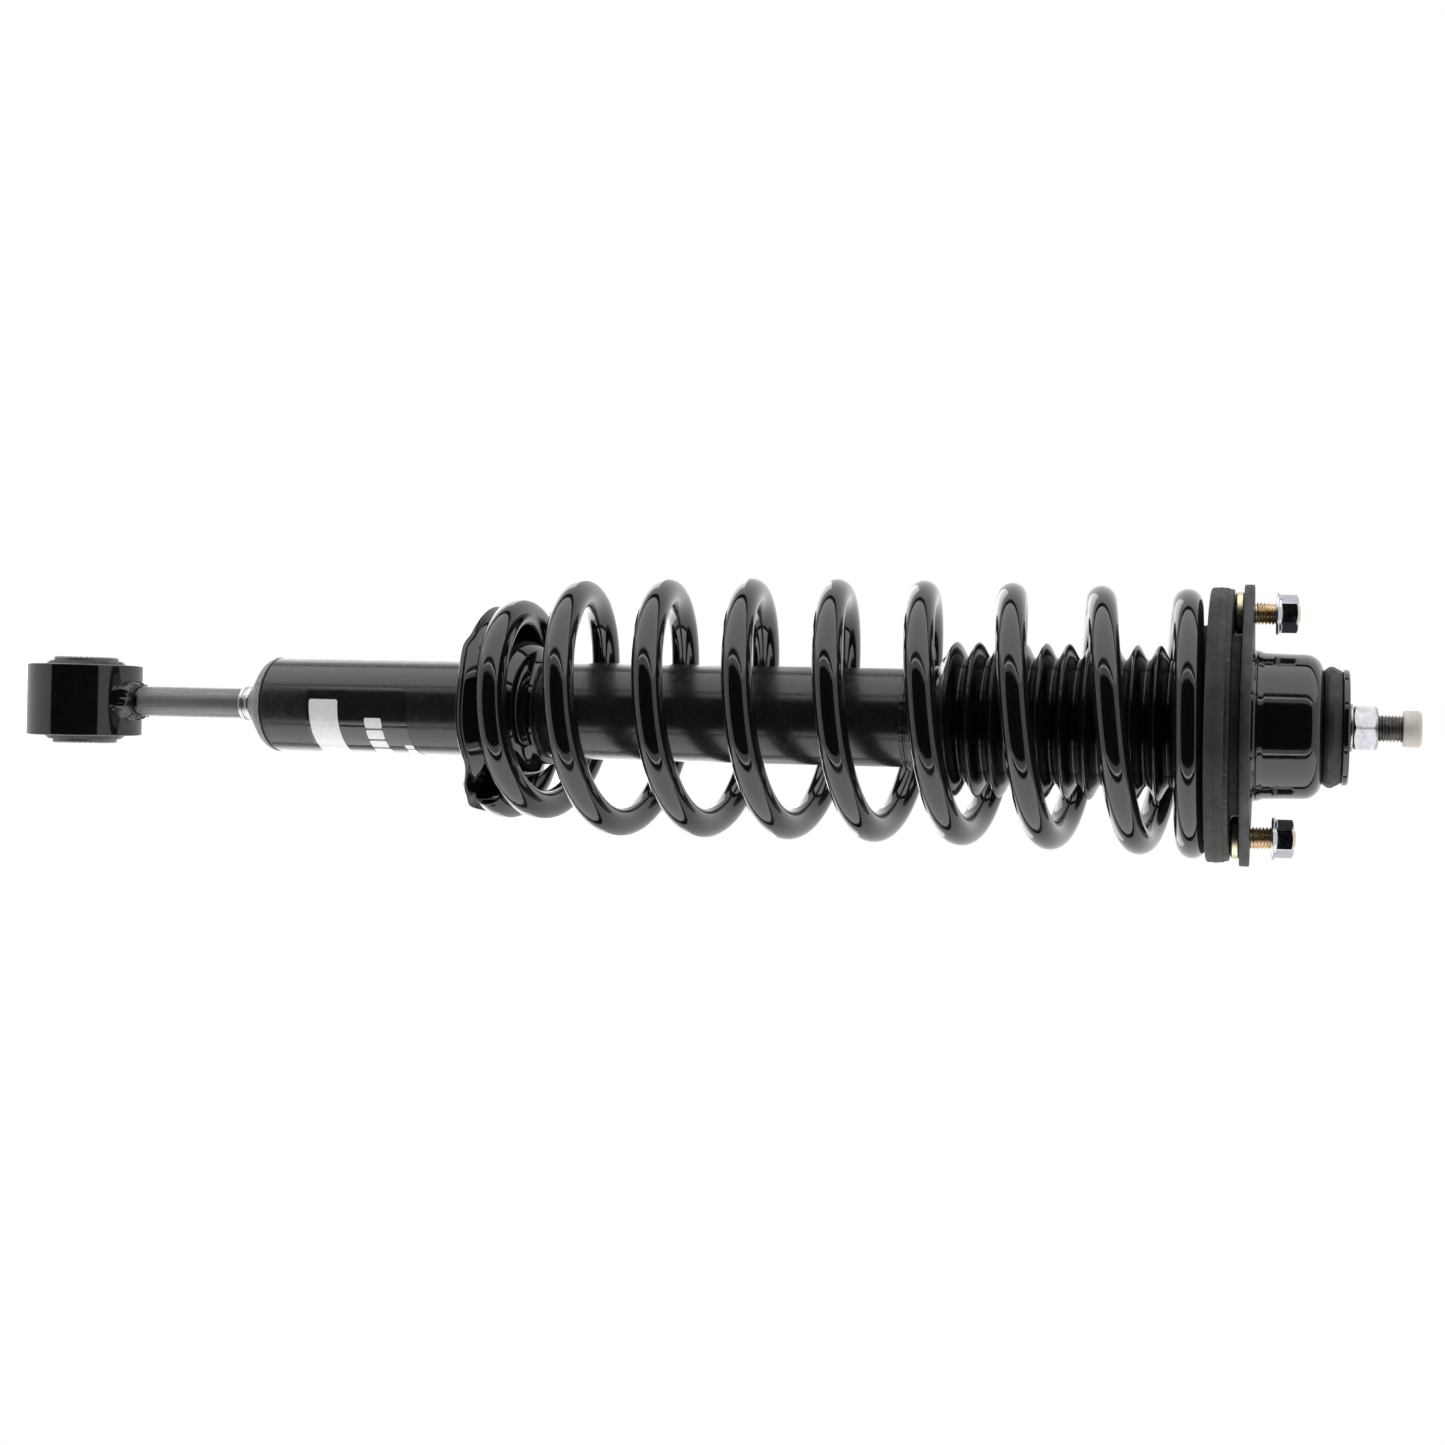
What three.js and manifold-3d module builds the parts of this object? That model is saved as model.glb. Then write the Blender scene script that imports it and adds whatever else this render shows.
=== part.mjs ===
// A coil-over strut: a rubber-bushed eye at the lower end, a twin-tube damper inside a coil spring,
// and a cushioned two-stud mount at the top. It stands at full extension.
//
// Frame: millimetres, +Z up along the strut's axis. The origin is on that axis, in the top face of
// the mount plate, which is the face that meets the vehicle. The eye's bore and the line through
// the two studs both lie along X.

import * as THREE from "three";
import { mergeVertices } from "three/addons/utils/BufferGeometryUtils.js";
import Module from "manifold-3d";

const wasm = await Module();
wasm.setup();

// ---------------------------------------------------------------- driving dimensions

const TURN = 2 * Math.PI;
const GAP = 0.3; // left between pieces that touch on the real strut
const RUNNING = 0.1; // radial clearance of a running fit
const ROUND = 24; // sides of a large round piece
const SMALL_ROUND = 16; // sides of a small one

const eyeDepth = 562.4; // eye centre below the plate's top face
const eyeRadius = 25.35;
const eyeWidth = 34;
const sleeveRadius = 14;
const sleeveLength = 41.4;
const boltRadius = 7.1; // clearance bore for an M14 bolt

const tubeRadius = 22.5;
const tubeWall = 2;
const tubeBottom = -465.5;
const tubeTop = -145;
const stemRadius = 7.1;

const rodRadius = 7;
const rodThreadRadius = 5.95; // M12
const rodTop = 72;

const wireRadius = 6.75;
const springRadius = 53.25; // of the wire's centre line
const springPitch = 40.4;

const plateThickness = 4.5;
const studSpacing = 100;
const studRadius = 4.95; // M10
const studTop = 20.3;

const cupRadius = 32.25;
const cupWall = 2.5;
const cupTop = 31.1;

// ---------------------------------------------------------------- materials

function finish(color, roughness, metalness) {
  return new THREE.MeshStandardMaterial({ color, roughness, metalness });
}

const materials = {
  glossBlack: finish(0x0b0b0c, 0.15, 0.2),
  satinBlack: finish(0x141416, 0.35, 0.2),
  rubber: finish(0x151515, 0.8, 0),
  matteGrey: finish(0x3c3c3c, 0.7, 0),
  greySteel: finish(0x6f7071, 0.45, 0.6),
  brightSteel: finish(0xc4c6c8, 0.25, 0.9),
  brightZinc: finish(0xcfd3d8, 0.3, 0.9),
  yellowZinc: finish(0xc9a85c, 0.35, 0.8),
  sintered: finish(0x55565a, 0.6, 0.7),
  bronze: finish(0x8c6b3e, 0.4, 0.8),
  urethane: finish(0xd8cfae, 0.8, 0),
  capPlastic: finish(0xcfc8bd, 0.55, 0),
  label: finish(0x202024, 0.25, 0),
};

// ---------------------------------------------------------------- solids

// A solid of revolution about Z. The profile is a closed ring of [radius, z] points, or a chain
// that starts and ends on the axis.
function revolve(profile, sides = ROUND) {
  const onAxis = profile[0][0] === 0;
  const ring = onAxis ? profile : [...profile, profile[0]];
  let area = 0;
  profile.forEach(([r, z], i) => {
    const [rNext, zNext] = profile[(i + 1) % profile.length];
    area += r * zNext - rNext * z;
  });
  const ordered = area > 0 ? ring : ring.slice().reverse();
  const points = ordered.map(([r, z]) => new THREE.Vector2(r, z));
  return new THREE.LatheGeometry(points, sides).rotateX(Math.PI / 2);
}

// A round bar or tube about Z.
function tube(inner, outer, bottom, top, sides = ROUND) {
  const outside = [
    [outer, bottom],
    [outer, top],
  ];
  const inside = [
    [inner, top],
    [inner, bottom],
  ];
  return revolve([...outside, ...inside], sides);
}

// A hexagonal bar about Z, with two of its corners on the Y axis.
function hexagon(acrossFlats, bottom, top) {
  const corner = acrossFlats / Math.sqrt(3);
  return new THREE.CylinderGeometry(corner, corner, top - bottom, 6)
    .rotateX(Math.PI / 2)
    .translate(0, 0, (top + bottom) / 2);
}

function toSolid(geometry) {
  const bare = geometry.index ? geometry.toNonIndexed() : geometry.clone();
  bare.deleteAttribute("normal");
  bare.deleteAttribute("uv");
  const merged = mergeVertices(bare, 1e-4);
  return new wasm.Manifold(
    new wasm.Mesh({
      numProp: 3,
      vertProperties: merged.attributes.position.array,
      triVerts: new Uint32Array(merged.index.array),
    }),
  );
}

function toGeometry(solid) {
  const mesh = solid.getMesh();
  return new THREE.BufferGeometry()
    .setAttribute("position", new THREE.BufferAttribute(mesh.vertProperties, 3))
    .setIndex(new THREE.BufferAttribute(mesh.triVerts, 1));
}

function cut(geometry, ...tools) {
  const whole = toSolid(geometry);
  return toGeometry(tools.reduce((rest, tool) => rest.subtract(toSolid(tool)), whole));
}

function join(geometry, ...others) {
  const first = toSolid(geometry);
  return toGeometry(others.reduce((sum, other) => sum.add(toSolid(other)), first));
}

function piece(group, name, geometry, material) {
  const mesh = new THREE.Mesh(geometry, material);
  mesh.name = name;
  group.add(mesh);
  return mesh;
}

// ---------------------------------------------------------------- the coil spring's line

// Height of the wire's centre against turns counted from +X, anticlockwise seen from above. The
// wire lies nearly flat on the lower seat, climbs at the full pitch, and lies flat at the top.
const wireStartTurn = -0.09;
const wireEndTurn = 9.05;
const wireStartHeight = -345.5;
const leadIn = { from: -0.05, to: 1.35 };
const leadOut = { from: 8.3, to: 8.85 };

// The integral of a slope that rises from 0 to 1 between two turns.
function easedRise(turn, { from, to }) {
  if (turn <= from) return 0;
  if (turn >= to) return turn - (from + to) / 2;
  return (turn - from) ** 2 / (2 * (to - from));
}

function wireHeight(turn) {
  const rise = easedRise(turn, leadIn) - easedRise(turn, leadOut);
  return wireStartHeight + springPitch * rise;
}

// The lowest turn is wound smaller, to sit in the seat.
const seatTurnRadius = 44.75;

function wireCentreRadius(turn) {
  const grown = THREE.MathUtils.smoothstep(turn, 0.9, 1.4);
  return THREE.MathUtils.lerp(seatTurnRadius, springRadius, grown);
}

// A side-loaded spring bows slightly towards -X between its seats.
const bow = 3;

class WireLine extends THREE.Curve {
  getPoint(t, target = new THREE.Vector3()) {
    const turn = THREE.MathUtils.lerp(wireStartTurn, wireEndTurn, t);
    const radius = wireCentreRadius(turn);
    const shift = -bow * Math.sin((Math.PI * Math.max(turn, 0)) / wireEndTurn);
    const x = radius * Math.cos(TURN * turn) + shift;
    const y = radius * Math.sin(TURN * turn);
    return target.set(x, y, wireHeight(turn));
  }
}

function coilSpring() {
  const stepsPerTurn = 16;
  const section = new THREE.Shape();
  section.absarc(0, 0, wireRadius, 0, TURN);
  const steps = Math.round((wireEndTurn - wireStartTurn) * stepsPerTurn);
  return new THREE.ExtrudeGeometry(section, {
    steps,
    curveSegments: 4,
    extrudePath: new WireLine(),
  });
}

// ---------------------------------------------------------------- lower end

function lowerEye(unit) {
  const eye = new THREE.Group();
  eye.position.z = -eyeDepth;
  eye.rotation.y = Math.PI / 2;
  unit.add(eye);

  const shellInner = eyeRadius - 3.5;
  const half = eyeWidth / 2;
  piece(eye, "lower_eye", tube(shellInner, eyeRadius, -half, half), materials.glossBlack);

  const bushInner = sleeveRadius + GAP;
  const lipRadius = 16.6;
  const lipEnd = half + 1.8;
  const shoulder = half - 1.5;
  const bush = revolve([
    [bushInner, -lipEnd],
    [lipRadius, -lipEnd],
    [lipRadius, -shoulder],
    [shellInner - GAP, -shoulder],
    [shellInner - GAP, shoulder],
    [lipRadius, shoulder],
    [lipRadius, lipEnd],
    [bushInner, lipEnd],
  ]);
  piece(eye, "eye_bush_rubber", bush, materials.rubber);
  const sleeve = tube(boltRadius, sleeveRadius, -sleeveLength / 2, sleeveLength / 2);
  piece(eye, "eye_inner_sleeve", sleeve, materials.greySteel);
}

function stemAndBase(unit) {
  const eyeTop = eyeRadius - eyeDepth;
  const stemBottom = eyeTop + GAP;
  const weld = revolve(
    [
      [stemRadius + GAP, stemBottom + GAP],
      [11, stemBottom + GAP],
      [11.6, stemBottom + 2.2],
      [9.6, stemBottom + 6.4],
      [stemRadius + GAP, stemBottom + 7.4],
    ],
    SMALL_ROUND,
  );
  piece(unit, "eye_weld", weld, materials.glossBlack);

  const stemTop = tubeBottom + 5;
  const stem = revolve(
    [
      [0, stemBottom],
      [stemRadius, stemBottom],
      [stemRadius, stemTop],
      [0, stemTop],
    ],
    SMALL_ROUND,
  );
  piece(unit, "extension_stem", stem, materials.greySteel);

  const collarRadius = 8.75;
  const collar = revolve(
    [
      [stemRadius + GAP, tubeBottom - 14],
      [collarRadius - 0.6, tubeBottom - 14],
      [collarRadius, tubeBottom - 12.5],
      [collarRadius - 0.5, tubeBottom - 10.8],
      [collarRadius, tubeBottom - 9.2],
      [collarRadius, tubeBottom - 8],
      [stemRadius + GAP, tubeBottom - 8],
    ],
    SMALL_ROUND,
  );
  piece(unit, "stem_collar", collar, materials.brightSteel);

  const capRadius = 17;
  const cap = revolve([
    [stemRadius + GAP, tubeBottom - 7.7],
    [9, tubeBottom - 7.7],
    [14.5, tubeBottom - 3.6],
    [capRadius, tubeBottom + 0.2],
    [capRadius, tubeBottom + 5],
    [stemRadius + GAP, tubeBottom + 5],
  ]);
  piece(unit, "base_cap", cap, materials.satinBlack);
}

// ---------------------------------------------------------------- damper body

const pressureInner = 16.4;
const pressureOuter = 17.6;
const pressureTop = -176;
const baseValveTop = tubeBottom + 20;

function damperBody(unit) {
  const inner = tubeRadius - tubeWall;
  const rolledEdge = 5.2;
  const rolledRadius = 18.6;
  const body = revolve([
    [rolledRadius - 1.2, tubeBottom],
    [rolledRadius, tubeBottom],
    [tubeRadius - 0.9, tubeBottom + rolledEdge * 0.6],
    [tubeRadius, tubeBottom + rolledEdge],
    [tubeRadius, tubeTop],
    [16.5, tubeTop],
    [16.5, tubeTop - tubeWall],
    [inner, tubeTop - tubeWall],
    [inner, tubeBottom + rolledEdge + 1],
    [rolledRadius - 1.2, tubeBottom + rolledEdge + 1],
  ]);
  piece(unit, "damper_tube", body, materials.satinBlack);

  const cylinder = tube(pressureInner, pressureOuter, baseValveTop + GAP, pressureTop);
  piece(unit, "pressure_tube", cylinder, materials.greySteel);

  const valveSeatTop = baseValveTop + 8;
  const valveBottom = tubeBottom + rolledEdge + 2;
  const port = (angle) =>
    new THREE.CylinderGeometry(1.5, 1.5, 60, 6)
      .rotateX(Math.PI / 2)
      .translate(11 * Math.cos(angle), 11 * Math.sin(angle), baseValveTop);
  const ports = [0, 1, 2, 3, 4, 5].map((i) => port((TURN * i) / 6));
  const valve = revolve([
    [0, valveBottom],
    [pressureOuter, valveBottom],
    [pressureOuter, baseValveTop],
    [pressureInner - GAP, baseValveTop],
    [pressureInner - GAP, valveSeatTop],
    [0, valveSeatTop],
  ]);
  piece(unit, "base_valve", cut(valve, ...ports), materials.sintered);
  const valveDisc = tube(2.5, 14, valveSeatTop + GAP, valveSeatTop + 1.1, SMALL_ROUND);
  piece(unit, "base_valve_disc", valveDisc, materials.brightSteel);

  const guideTop = tubeTop - 17;
  const guideBottom = pressureTop - 4.6;
  const guideInner = 8.6;
  const guide = revolve([
    [guideInner, guideBottom],
    [pressureInner - GAP, guideBottom],
    [pressureInner - GAP, pressureTop + GAP],
    [inner - GAP, pressureTop + GAP],
    [inner - GAP, guideTop],
    [guideInner, guideTop],
  ]);
  piece(unit, "rod_guide", guide, materials.sintered);
  const bushing = tube(rodRadius + RUNNING, guideInner - GAP, guideBottom, guideTop);
  piece(unit, "guide_bushing", bushing, materials.bronze);
  const sealTop = tubeTop - tubeWall - GAP;
  const seal = revolve([
    [rodRadius + RUNNING, guideTop + GAP],
    [inner - GAP, guideTop + GAP],
    [inner - GAP, guideTop + 6],
    [14, sealTop],
    [rodRadius + RUNNING, sealTop],
  ]);
  piece(unit, "rod_seal", seal, materials.rubber);

  const skirtBottom = tubeTop - 11;
  const skirtInner = tubeRadius + GAP;
  const cuffOuter = skirtInner + 1.2;
  const cuffTop = tubeTop + 3;
  const cuff = revolve([
    [skirtInner, skirtBottom],
    [cuffOuter, skirtBottom],
    [cuffOuter, cuffTop - 1],
    [cuffOuter - 1, cuffTop],
    [10, cuffTop],
    [10, tubeTop + GAP],
    [skirtInner, tubeTop + GAP],
  ]);
  piece(unit, "striker_cap", cuff, materials.satinBlack);
}

// A pressed pan whose floor climbs with the spring's lowest turn and drops away behind the wire's
// cut end. Its edge is turned down in a flared skirt, and a tall hub grips the damper tube.
function lowerSeat(unit) {
  const collarInner = tubeRadius + GAP;
  const collarOuter = collarInner + 2.6;
  const collarBottom = -359.5;
  const hubTop = -326;
  const sheet = 2.6;
  const climbEnd = 0.83;
  const wireBottomGap = wireRadius + GAP;

  function floorHeight(turn) {
    const start = wireHeight(wireStartTurn) - wireBottomGap;
    if (turn <= climbEnd) return wireHeight(turn) - wireBottomGap;
    const drop = THREE.MathUtils.smoothstep(turn, climbEnd, 1 + wireStartTurn - 0.01);
    return THREE.MathUtils.lerp(wireHeight(climbEnd) - wireBottomGap, start, drop);
  }

  function section(turn) {
    const floor = floorHeight(turn);
    const climb = (floor - wireHeight(0) + wireBottomGap) / 10;
    const skirt = floor - 3.6 - 1.2 * Math.max(climb, 0);
    return [
      [collarInner, collarBottom],
      [collarOuter, collarBottom],
      [collarOuter, floor - sheet],
      [43.8, floor - sheet],
      [48.1, skirt],
      [50.5, skirt],
      [46.4, floor - 0.4],
      [45, floor],
      [35.5, floor],
      [27.5, hubTop - 9],
      [collarOuter, hubTop - 1],
      [collarOuter, hubTop],
      [collarInner, hubTop],
    ];
  }

  const around = 40;
  const positions = [];
  for (let i = 0; i < around; i += 1) {
    const turn = i / around;
    section(turn).forEach(([r, z]) => {
      positions.push(r * Math.cos(TURN * turn), r * Math.sin(TURN * turn), z);
    });
  }
  const count = section(0).length;
  const index = [];
  for (let i = 0; i < around; i += 1) {
    for (let j = 0; j < count; j += 1) {
      const a = i * count + j;
      const b = i * count + ((j + 1) % count);
      const c = ((i + 1) % around) * count + ((j + 1) % count);
      const d = ((i + 1) % around) * count + j;
      index.push(a, d, c, a, c, b);
    }
  }
  const pan = new THREE.BufferGeometry();
  pan.setAttribute("position", new THREE.Float32BufferAttribute(positions, 3));
  pan.setIndex(index);
  piece(unit, "lower_spring_seat", pan, materials.glossBlack);

  const weld = revolve([
    [collarInner, collarBottom - 3.4],
    [collarInner + 2.6, collarBottom - GAP],
    [collarInner, collarBottom - GAP],
  ]);
  piece(unit, "seat_weld", weld, materials.glossBlack);
}

// A sticker wrapped part of the way round the tube.
function tubeLabel(unit) {
  const inside = tubeRadius + GAP;
  const outside = inside + 0.25;
  const from = THREE.MathUtils.degToRad(248);
  const to = THREE.MathUtils.degToRad(378);
  const outline = new THREE.Shape();
  outline.absarc(0, 0, outside, from, to, false);
  outline.absarc(0, 0, inside, to, from, true);
  const sticker = new THREE.ExtrudeGeometry(outline, {
    depth: 49,
    bevelEnabled: false,
    curveSegments: 12,
  }).translate(0, 0, -436.5);
  piece(unit, "tube_label", sticker, materials.label);
}

// ---------------------------------------------------------------- rod and piston

const shoulder = -6.2; // where the rod steps down to its thread
const tenonTop = -198;
const tenonBottom = -226;
const tenonRadius = 5;

function rodAndPiston(mount) {
  const rod = revolve(
    [
      [0, tenonBottom],
      [tenonRadius, tenonBottom],
      [tenonRadius, tenonTop],
      [rodRadius, tenonTop],
      [rodRadius, shoulder],
      [rodThreadRadius, shoulder],
      [rodThreadRadius, rodTop - 1],
      [rodThreadRadius - 1, rodTop],
      [0, rodTop],
    ],
    ROUND,
  );
  piece(mount, "piston_rod", rod, materials.brightSteel);

  const bore = tenonRadius + GAP;
  const pistonTop = -201;
  const pistonBottom = -213;
  const ringTop = -204;
  const ringBottom = -210;
  const grooveRadius = 14.6;
  const pistonRadius = pressureInner - 0.5;
  const port = (angle) =>
    new THREE.CylinderGeometry(1.2, 1.2, 30, 6)
      .rotateX(Math.PI / 2)
      .translate(9.5 * Math.cos(angle), 9.5 * Math.sin(angle), pistonTop);
  const ports = [0, 1, 2, 3, 4, 5].map((i) => port((TURN * i) / 6));
  const piston = revolve([
    [bore, pistonBottom],
    [pistonRadius, pistonBottom],
    [pistonRadius, ringBottom],
    [grooveRadius, ringBottom],
    [grooveRadius, ringTop],
    [pistonRadius, ringTop],
    [pistonRadius, pistonTop],
    [bore, pistonTop],
  ]);
  piece(mount, "piston", cut(piston, ...ports), materials.sintered);
  const ring = tube(
    grooveRadius + GAP,
    pressureInner - RUNNING,
    ringBottom + GAP,
    ringTop - GAP,
  );
  piece(mount, "piston_ring", ring, materials.rubber);

  const upperShims = tube(bore, 12, pistonTop + GAP, tenonTop - GAP, SMALL_ROUND);
  piece(mount, "compression_shims", upperShims, materials.brightSteel);
  const lowerShims = tube(bore, 11, pistonBottom - 2.2, pistonBottom - GAP, SMALL_ROUND);
  piece(mount, "rebound_shims", lowerShims, materials.brightSteel);
  const nutTop = pistonBottom - 2.5;
  const nutHole = tube(0, bore, tenonBottom - 5, nutTop + 5, SMALL_ROUND);
  const nut = cut(hexagon(17, nutTop - 8, nutTop), nutHole);
  piece(mount, "piston_nut", nut, materials.brightZinc);

  const reboundStop = tube(rodRadius + GAP, 12.5, tenonTop + 3, -181, SMALL_ROUND);
  piece(mount, "rebound_stop", reboundStop, materials.urethane);
}

// ---------------------------------------------------------------- bump stop, boot and spring seat

const bumpStopBottom = -51;

function bumpStop(mount) {
  const top = shoulder - GAP;
  const inner = rodRadius + GAP;
  const stop = revolve(
    [
      [inner, bumpStopBottom],
      [12, bumpStopBottom],
      [15, bumpStopBottom + 6],
      [16.5, bumpStopBottom + 12],
      [13.5, bumpStopBottom + 18],
      [18.5, bumpStopBottom + 24],
      [19.5, top - 4],
      [19.5, top],
      [inner, top],
    ],
    SMALL_ROUND,
  );
  piece(mount, "bump_stop", stop, materials.urethane);
}

const insulatorTop = -10.7;

// A bellows: each fold has one crest and one valley. The top is a flange, the bottom a cuff.
function dustBoot(mount) {
  const folds = 11;
  const crestRadius = 35.2;
  const valleyRadius = 28.2;
  const wall = 1.3;
  const bellowsBottom = tubeTop + 6;
  const bellowsTop = -26;
  const fold = (bellowsTop - bellowsBottom) / folds;
  const outside = [];
  const inside = [];
  for (let i = 0; i < folds; i += 1) {
    const valley = bellowsBottom + i * fold;
    const crest = valley + fold / 2;
    outside.push([valleyRadius, valley], [crestRadius, crest]);
    inside.push([valleyRadius - wall, valley], [crestRadius - 1.8 * wall, crest]);
  }
  const flangeTop = insulatorTop - GAP;
  const flangeBottom = flangeTop - 1.8;
  const cuffInner = tubeRadius - 1.5;
  const cuffBottom = tubeTop + 3 + GAP;
  const neck = [
    [valleyRadius, bellowsTop],
    [valleyRadius, flangeBottom],
    [36, flangeBottom],
    [36, flangeTop],
    [valleyRadius - wall, flangeTop],
    [valleyRadius - wall, bellowsTop],
  ];
  const cuff = [
    [cuffInner, bellowsBottom - wall],
    [cuffInner, cuffBottom],
    [cuffInner + wall, cuffBottom],
  ];
  const profile = [...outside, ...neck, ...inside.reverse().slice(0, -1), ...cuff];
  piece(mount, "dust_boot", revolve(profile, SMALL_ROUND), materials.rubber);
}

function upperSeat(mount) {
  const inner = 36.5;
  const outer = 61.3;
  const underside = wireHeight(wireEndTurn) + wireRadius + 0.15;
  const insulator = revolve([
    [inner, underside - 9],
    [inner + 7, underside - 9],
    [inner + 8.2, underside],
    [outer - 0.6, underside],
    [outer, underside + 0.6],
    [outer, insulatorTop - 0.6],
    [outer - 0.6, insulatorTop],
    [inner, insulatorTop],
  ]);
  piece(mount, "upper_insulator", insulator, materials.matteGrey);

  const seatBottom = insulatorTop + GAP;
  const seatTop = -plateThickness - GAP;
  const seat = revolve([
    [24, seatBottom],
    [45, seatBottom],
    [45, seatTop],
    [38.4, seatTop],
    [38.4, seatTop - 2.6],
    [24, seatTop - 2.6],
  ]);
  const notch = (x) => tube(0, 10.2, seatBottom - 1, seatTop + 1, SMALL_ROUND).translate(x, 0, 0);
  const notched = cut(seat, notch(studSpacing / 2), notch(-studSpacing / 2));
  piece(mount, "upper_spring_seat", notched, materials.matteGrey);
}

// ---------------------------------------------------------------- top mount

const plateHole = cupRadius + 1.55;

// A rounded diamond: a large circle with a small one at each stud, and straight tangents between.
function mountPlate(mount) {
  const middle = 50;
  const tip = 12.85;
  const reach = studSpacing / 2;
  const tangent = Math.acos((middle - tip) / reach);
  const outline = new THREE.Shape();
  outline.absarc(reach, 0, tip, -tangent, tangent, false);
  outline.absarc(0, 0, middle, tangent, Math.PI - tangent, false);
  outline.absarc(-reach, 0, tip, Math.PI - tangent, Math.PI + tangent, false);
  outline.absarc(0, 0, middle, Math.PI + tangent, TURN - tangent, false);
  const hole = (x, radius) => new THREE.Path().absarc(x, 0, radius, 0, TURN, true);
  outline.holes.push(hole(0, plateHole));
  outline.holes.push(hole(reach, studRadius + GAP));
  outline.holes.push(hole(-reach, studRadius + GAP));
  const plate = new THREE.ExtrudeGeometry(outline, {
    depth: plateThickness,
    bevelEnabled: false,
    curveSegments: 12,
  }).translate(0, 0, -plateThickness);
  piece(mount, "mount_plate", plate, materials.matteGrey);
}

function cushionCup(mount) {
  const under = -plateThickness - GAP;
  const hole = 15;
  const cup = revolve([
    [cupRadius - cupWall, under - 2.3],
    [38, under - 2.3],
    [38, under],
    [cupRadius + 1, under],
    [cupRadius + 1, 0.8],
    [cupRadius, 2.6],
    [cupRadius - 0.8, cupTop - 4.5],
    [cupRadius - 2.3, cupTop - 1.4],
    [cupRadius - 5.4, cupTop],
    [hole, cupTop],
    [hole, cupTop - cupWall],
    [cupRadius - 5.8, cupTop - cupWall],
    [cupRadius - cupWall - 0.8, cupTop - 5],
    [cupRadius - cupWall, 2.6],
  ]);
  piece(mount, "cushion_cup", cup, materials.glossBlack);
}

const washerBottom = 39.3;
const washerTop = 42.7;

function cushions(mount) {
  const collarOuter = 9;
  const rubberInner = collarOuter + GAP;
  const threadClear = rodThreadRadius + 0.35;
  const lowerTop = cupTop - cupWall - GAP;
  const cupInner = cupRadius - cupWall;

  const lowerWasher = tube(threadClear, 22, shoulder + GAP, shoulder + 3.8);
  piece(mount, "lower_washer", lowerWasher, materials.brightSteel);
  const lowerCushion = revolve([
    [rubberInner, shoulder + 4.1],
    [21, shoulder + 4.1],
    [cupInner - 1.8, 6],
    [cupInner - 1.8, lowerTop - 6],
    [cupInner - 5, lowerTop],
    [rubberInner, lowerTop],
  ]);
  piece(mount, "lower_cushion", lowerCushion, materials.rubber);

  const spacer = tube(threadClear, collarOuter, shoulder + 4.1, washerBottom - GAP, SMALL_ROUND);
  piece(mount, "spacer_collar", spacer, materials.brightSteel);

  const rim = 26.85;
  const bottom = cupTop + GAP;
  const top = washerBottom - GAP;
  const upperCushion = revolve([
    [rubberInner, lowerTop + GAP],
    [14.7, lowerTop + GAP],
    [14.7, bottom],
    [rim - 1.4, bottom],
    [rim, bottom + 2],
    [rim, top - 3],
    [rim - 1.6, top],
    [rubberInner, top],
  ]);
  piece(mount, "upper_cushion", upperCushion, materials.rubber);

  const washer = revolve([
    [threadClear, washerBottom],
    [25, washerBottom],
    [25.7, washerBottom + 0.7],
    [25.7, washerTop - 0.7],
    [25, washerTop],
    [threadClear, washerTop],
  ]);
  piece(mount, "retainer_washer", washer, materials.glossBlack);
}

function topNut(mount) {
  const bore = rodThreadRadius + RUNNING;
  const washer = tube(bore, 10.6, washerTop + GAP, washerTop + 1.4, SMALL_ROUND);
  piece(mount, "top_nut_washer", washer, materials.brightZinc);
  const bottom = washerTop + 1.7;
  const height = 11;
  const hole = tube(0, bore, bottom - 1, bottom + height + 1, ROUND);
  piece(mount, "top_nut", cut(hexagon(19, bottom, bottom + height), hole), materials.brightZinc);
}

function studsAndNuts(mount) {
  const headRadius = 9.5;
  const headTop = -plateThickness - GAP;
  const headBottom = headTop - 3.8;
  const nutBottom = 9.5;
  const nutTop = 19.5;
  const flangeRadius = 9.7;
  [-1, 1].forEach((side, i) => {
    const place = new THREE.Group();
    place.position.x = (side * studSpacing) / 2;
    mount.add(place);
    const stud = revolve(
      [
        [0, headBottom],
        [headRadius, headBottom],
        [headRadius, headTop],
        [studRadius, headTop],
        [studRadius, studTop - 1],
        [studRadius - 1, studTop],
        [0, studTop],
      ],
      SMALL_ROUND,
    );
    piece(place, `stud_${i + 1}`, stud, materials.yellowZinc);

    const flange = revolve(
      [
        [0, nutBottom],
        [flangeRadius, nutBottom],
        [flangeRadius, nutBottom + 1],
        [8, nutBottom + 3],
        [0, nutBottom + 3],
      ],
      SMALL_ROUND,
    );
    const hole = tube(0, studRadius + RUNNING, nutBottom - 1, nutTop + 1, SMALL_ROUND);
    const hex = hexagon(15, nutBottom, nutTop).rotateZ(Math.PI / 6);
    const nut = cut(join(hex, flange), hole);
    piece(place, `flange_nut_${i + 1}`, nut, materials.brightZinc);
  });
}

// A plastic cap pushed over the end of the rod's thread.
function rodEndCap(mount) {
  const inner = rodThreadRadius + RUNNING;
  const outer = 8.2;
  const bottom = 66;
  const top = 74.1;
  const cap = revolve([
    [0, rodTop + GAP],
    [inner, rodTop + GAP],
    [inner, bottom],
    [outer, bottom],
    [outer, top - 0.8],
    [outer - 0.8, top],
    [0, top],
  ]);
  piece(mount, "rod_end_cap", cap, materials.capPlastic);
}

// ---------------------------------------------------------------- assembly

const strut = new THREE.Group();
strut.name = "strut_assembly";
const lowerUnit = new THREE.Group();
const upperMount = new THREE.Group();
strut.add(lowerUnit, upperMount);

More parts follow.
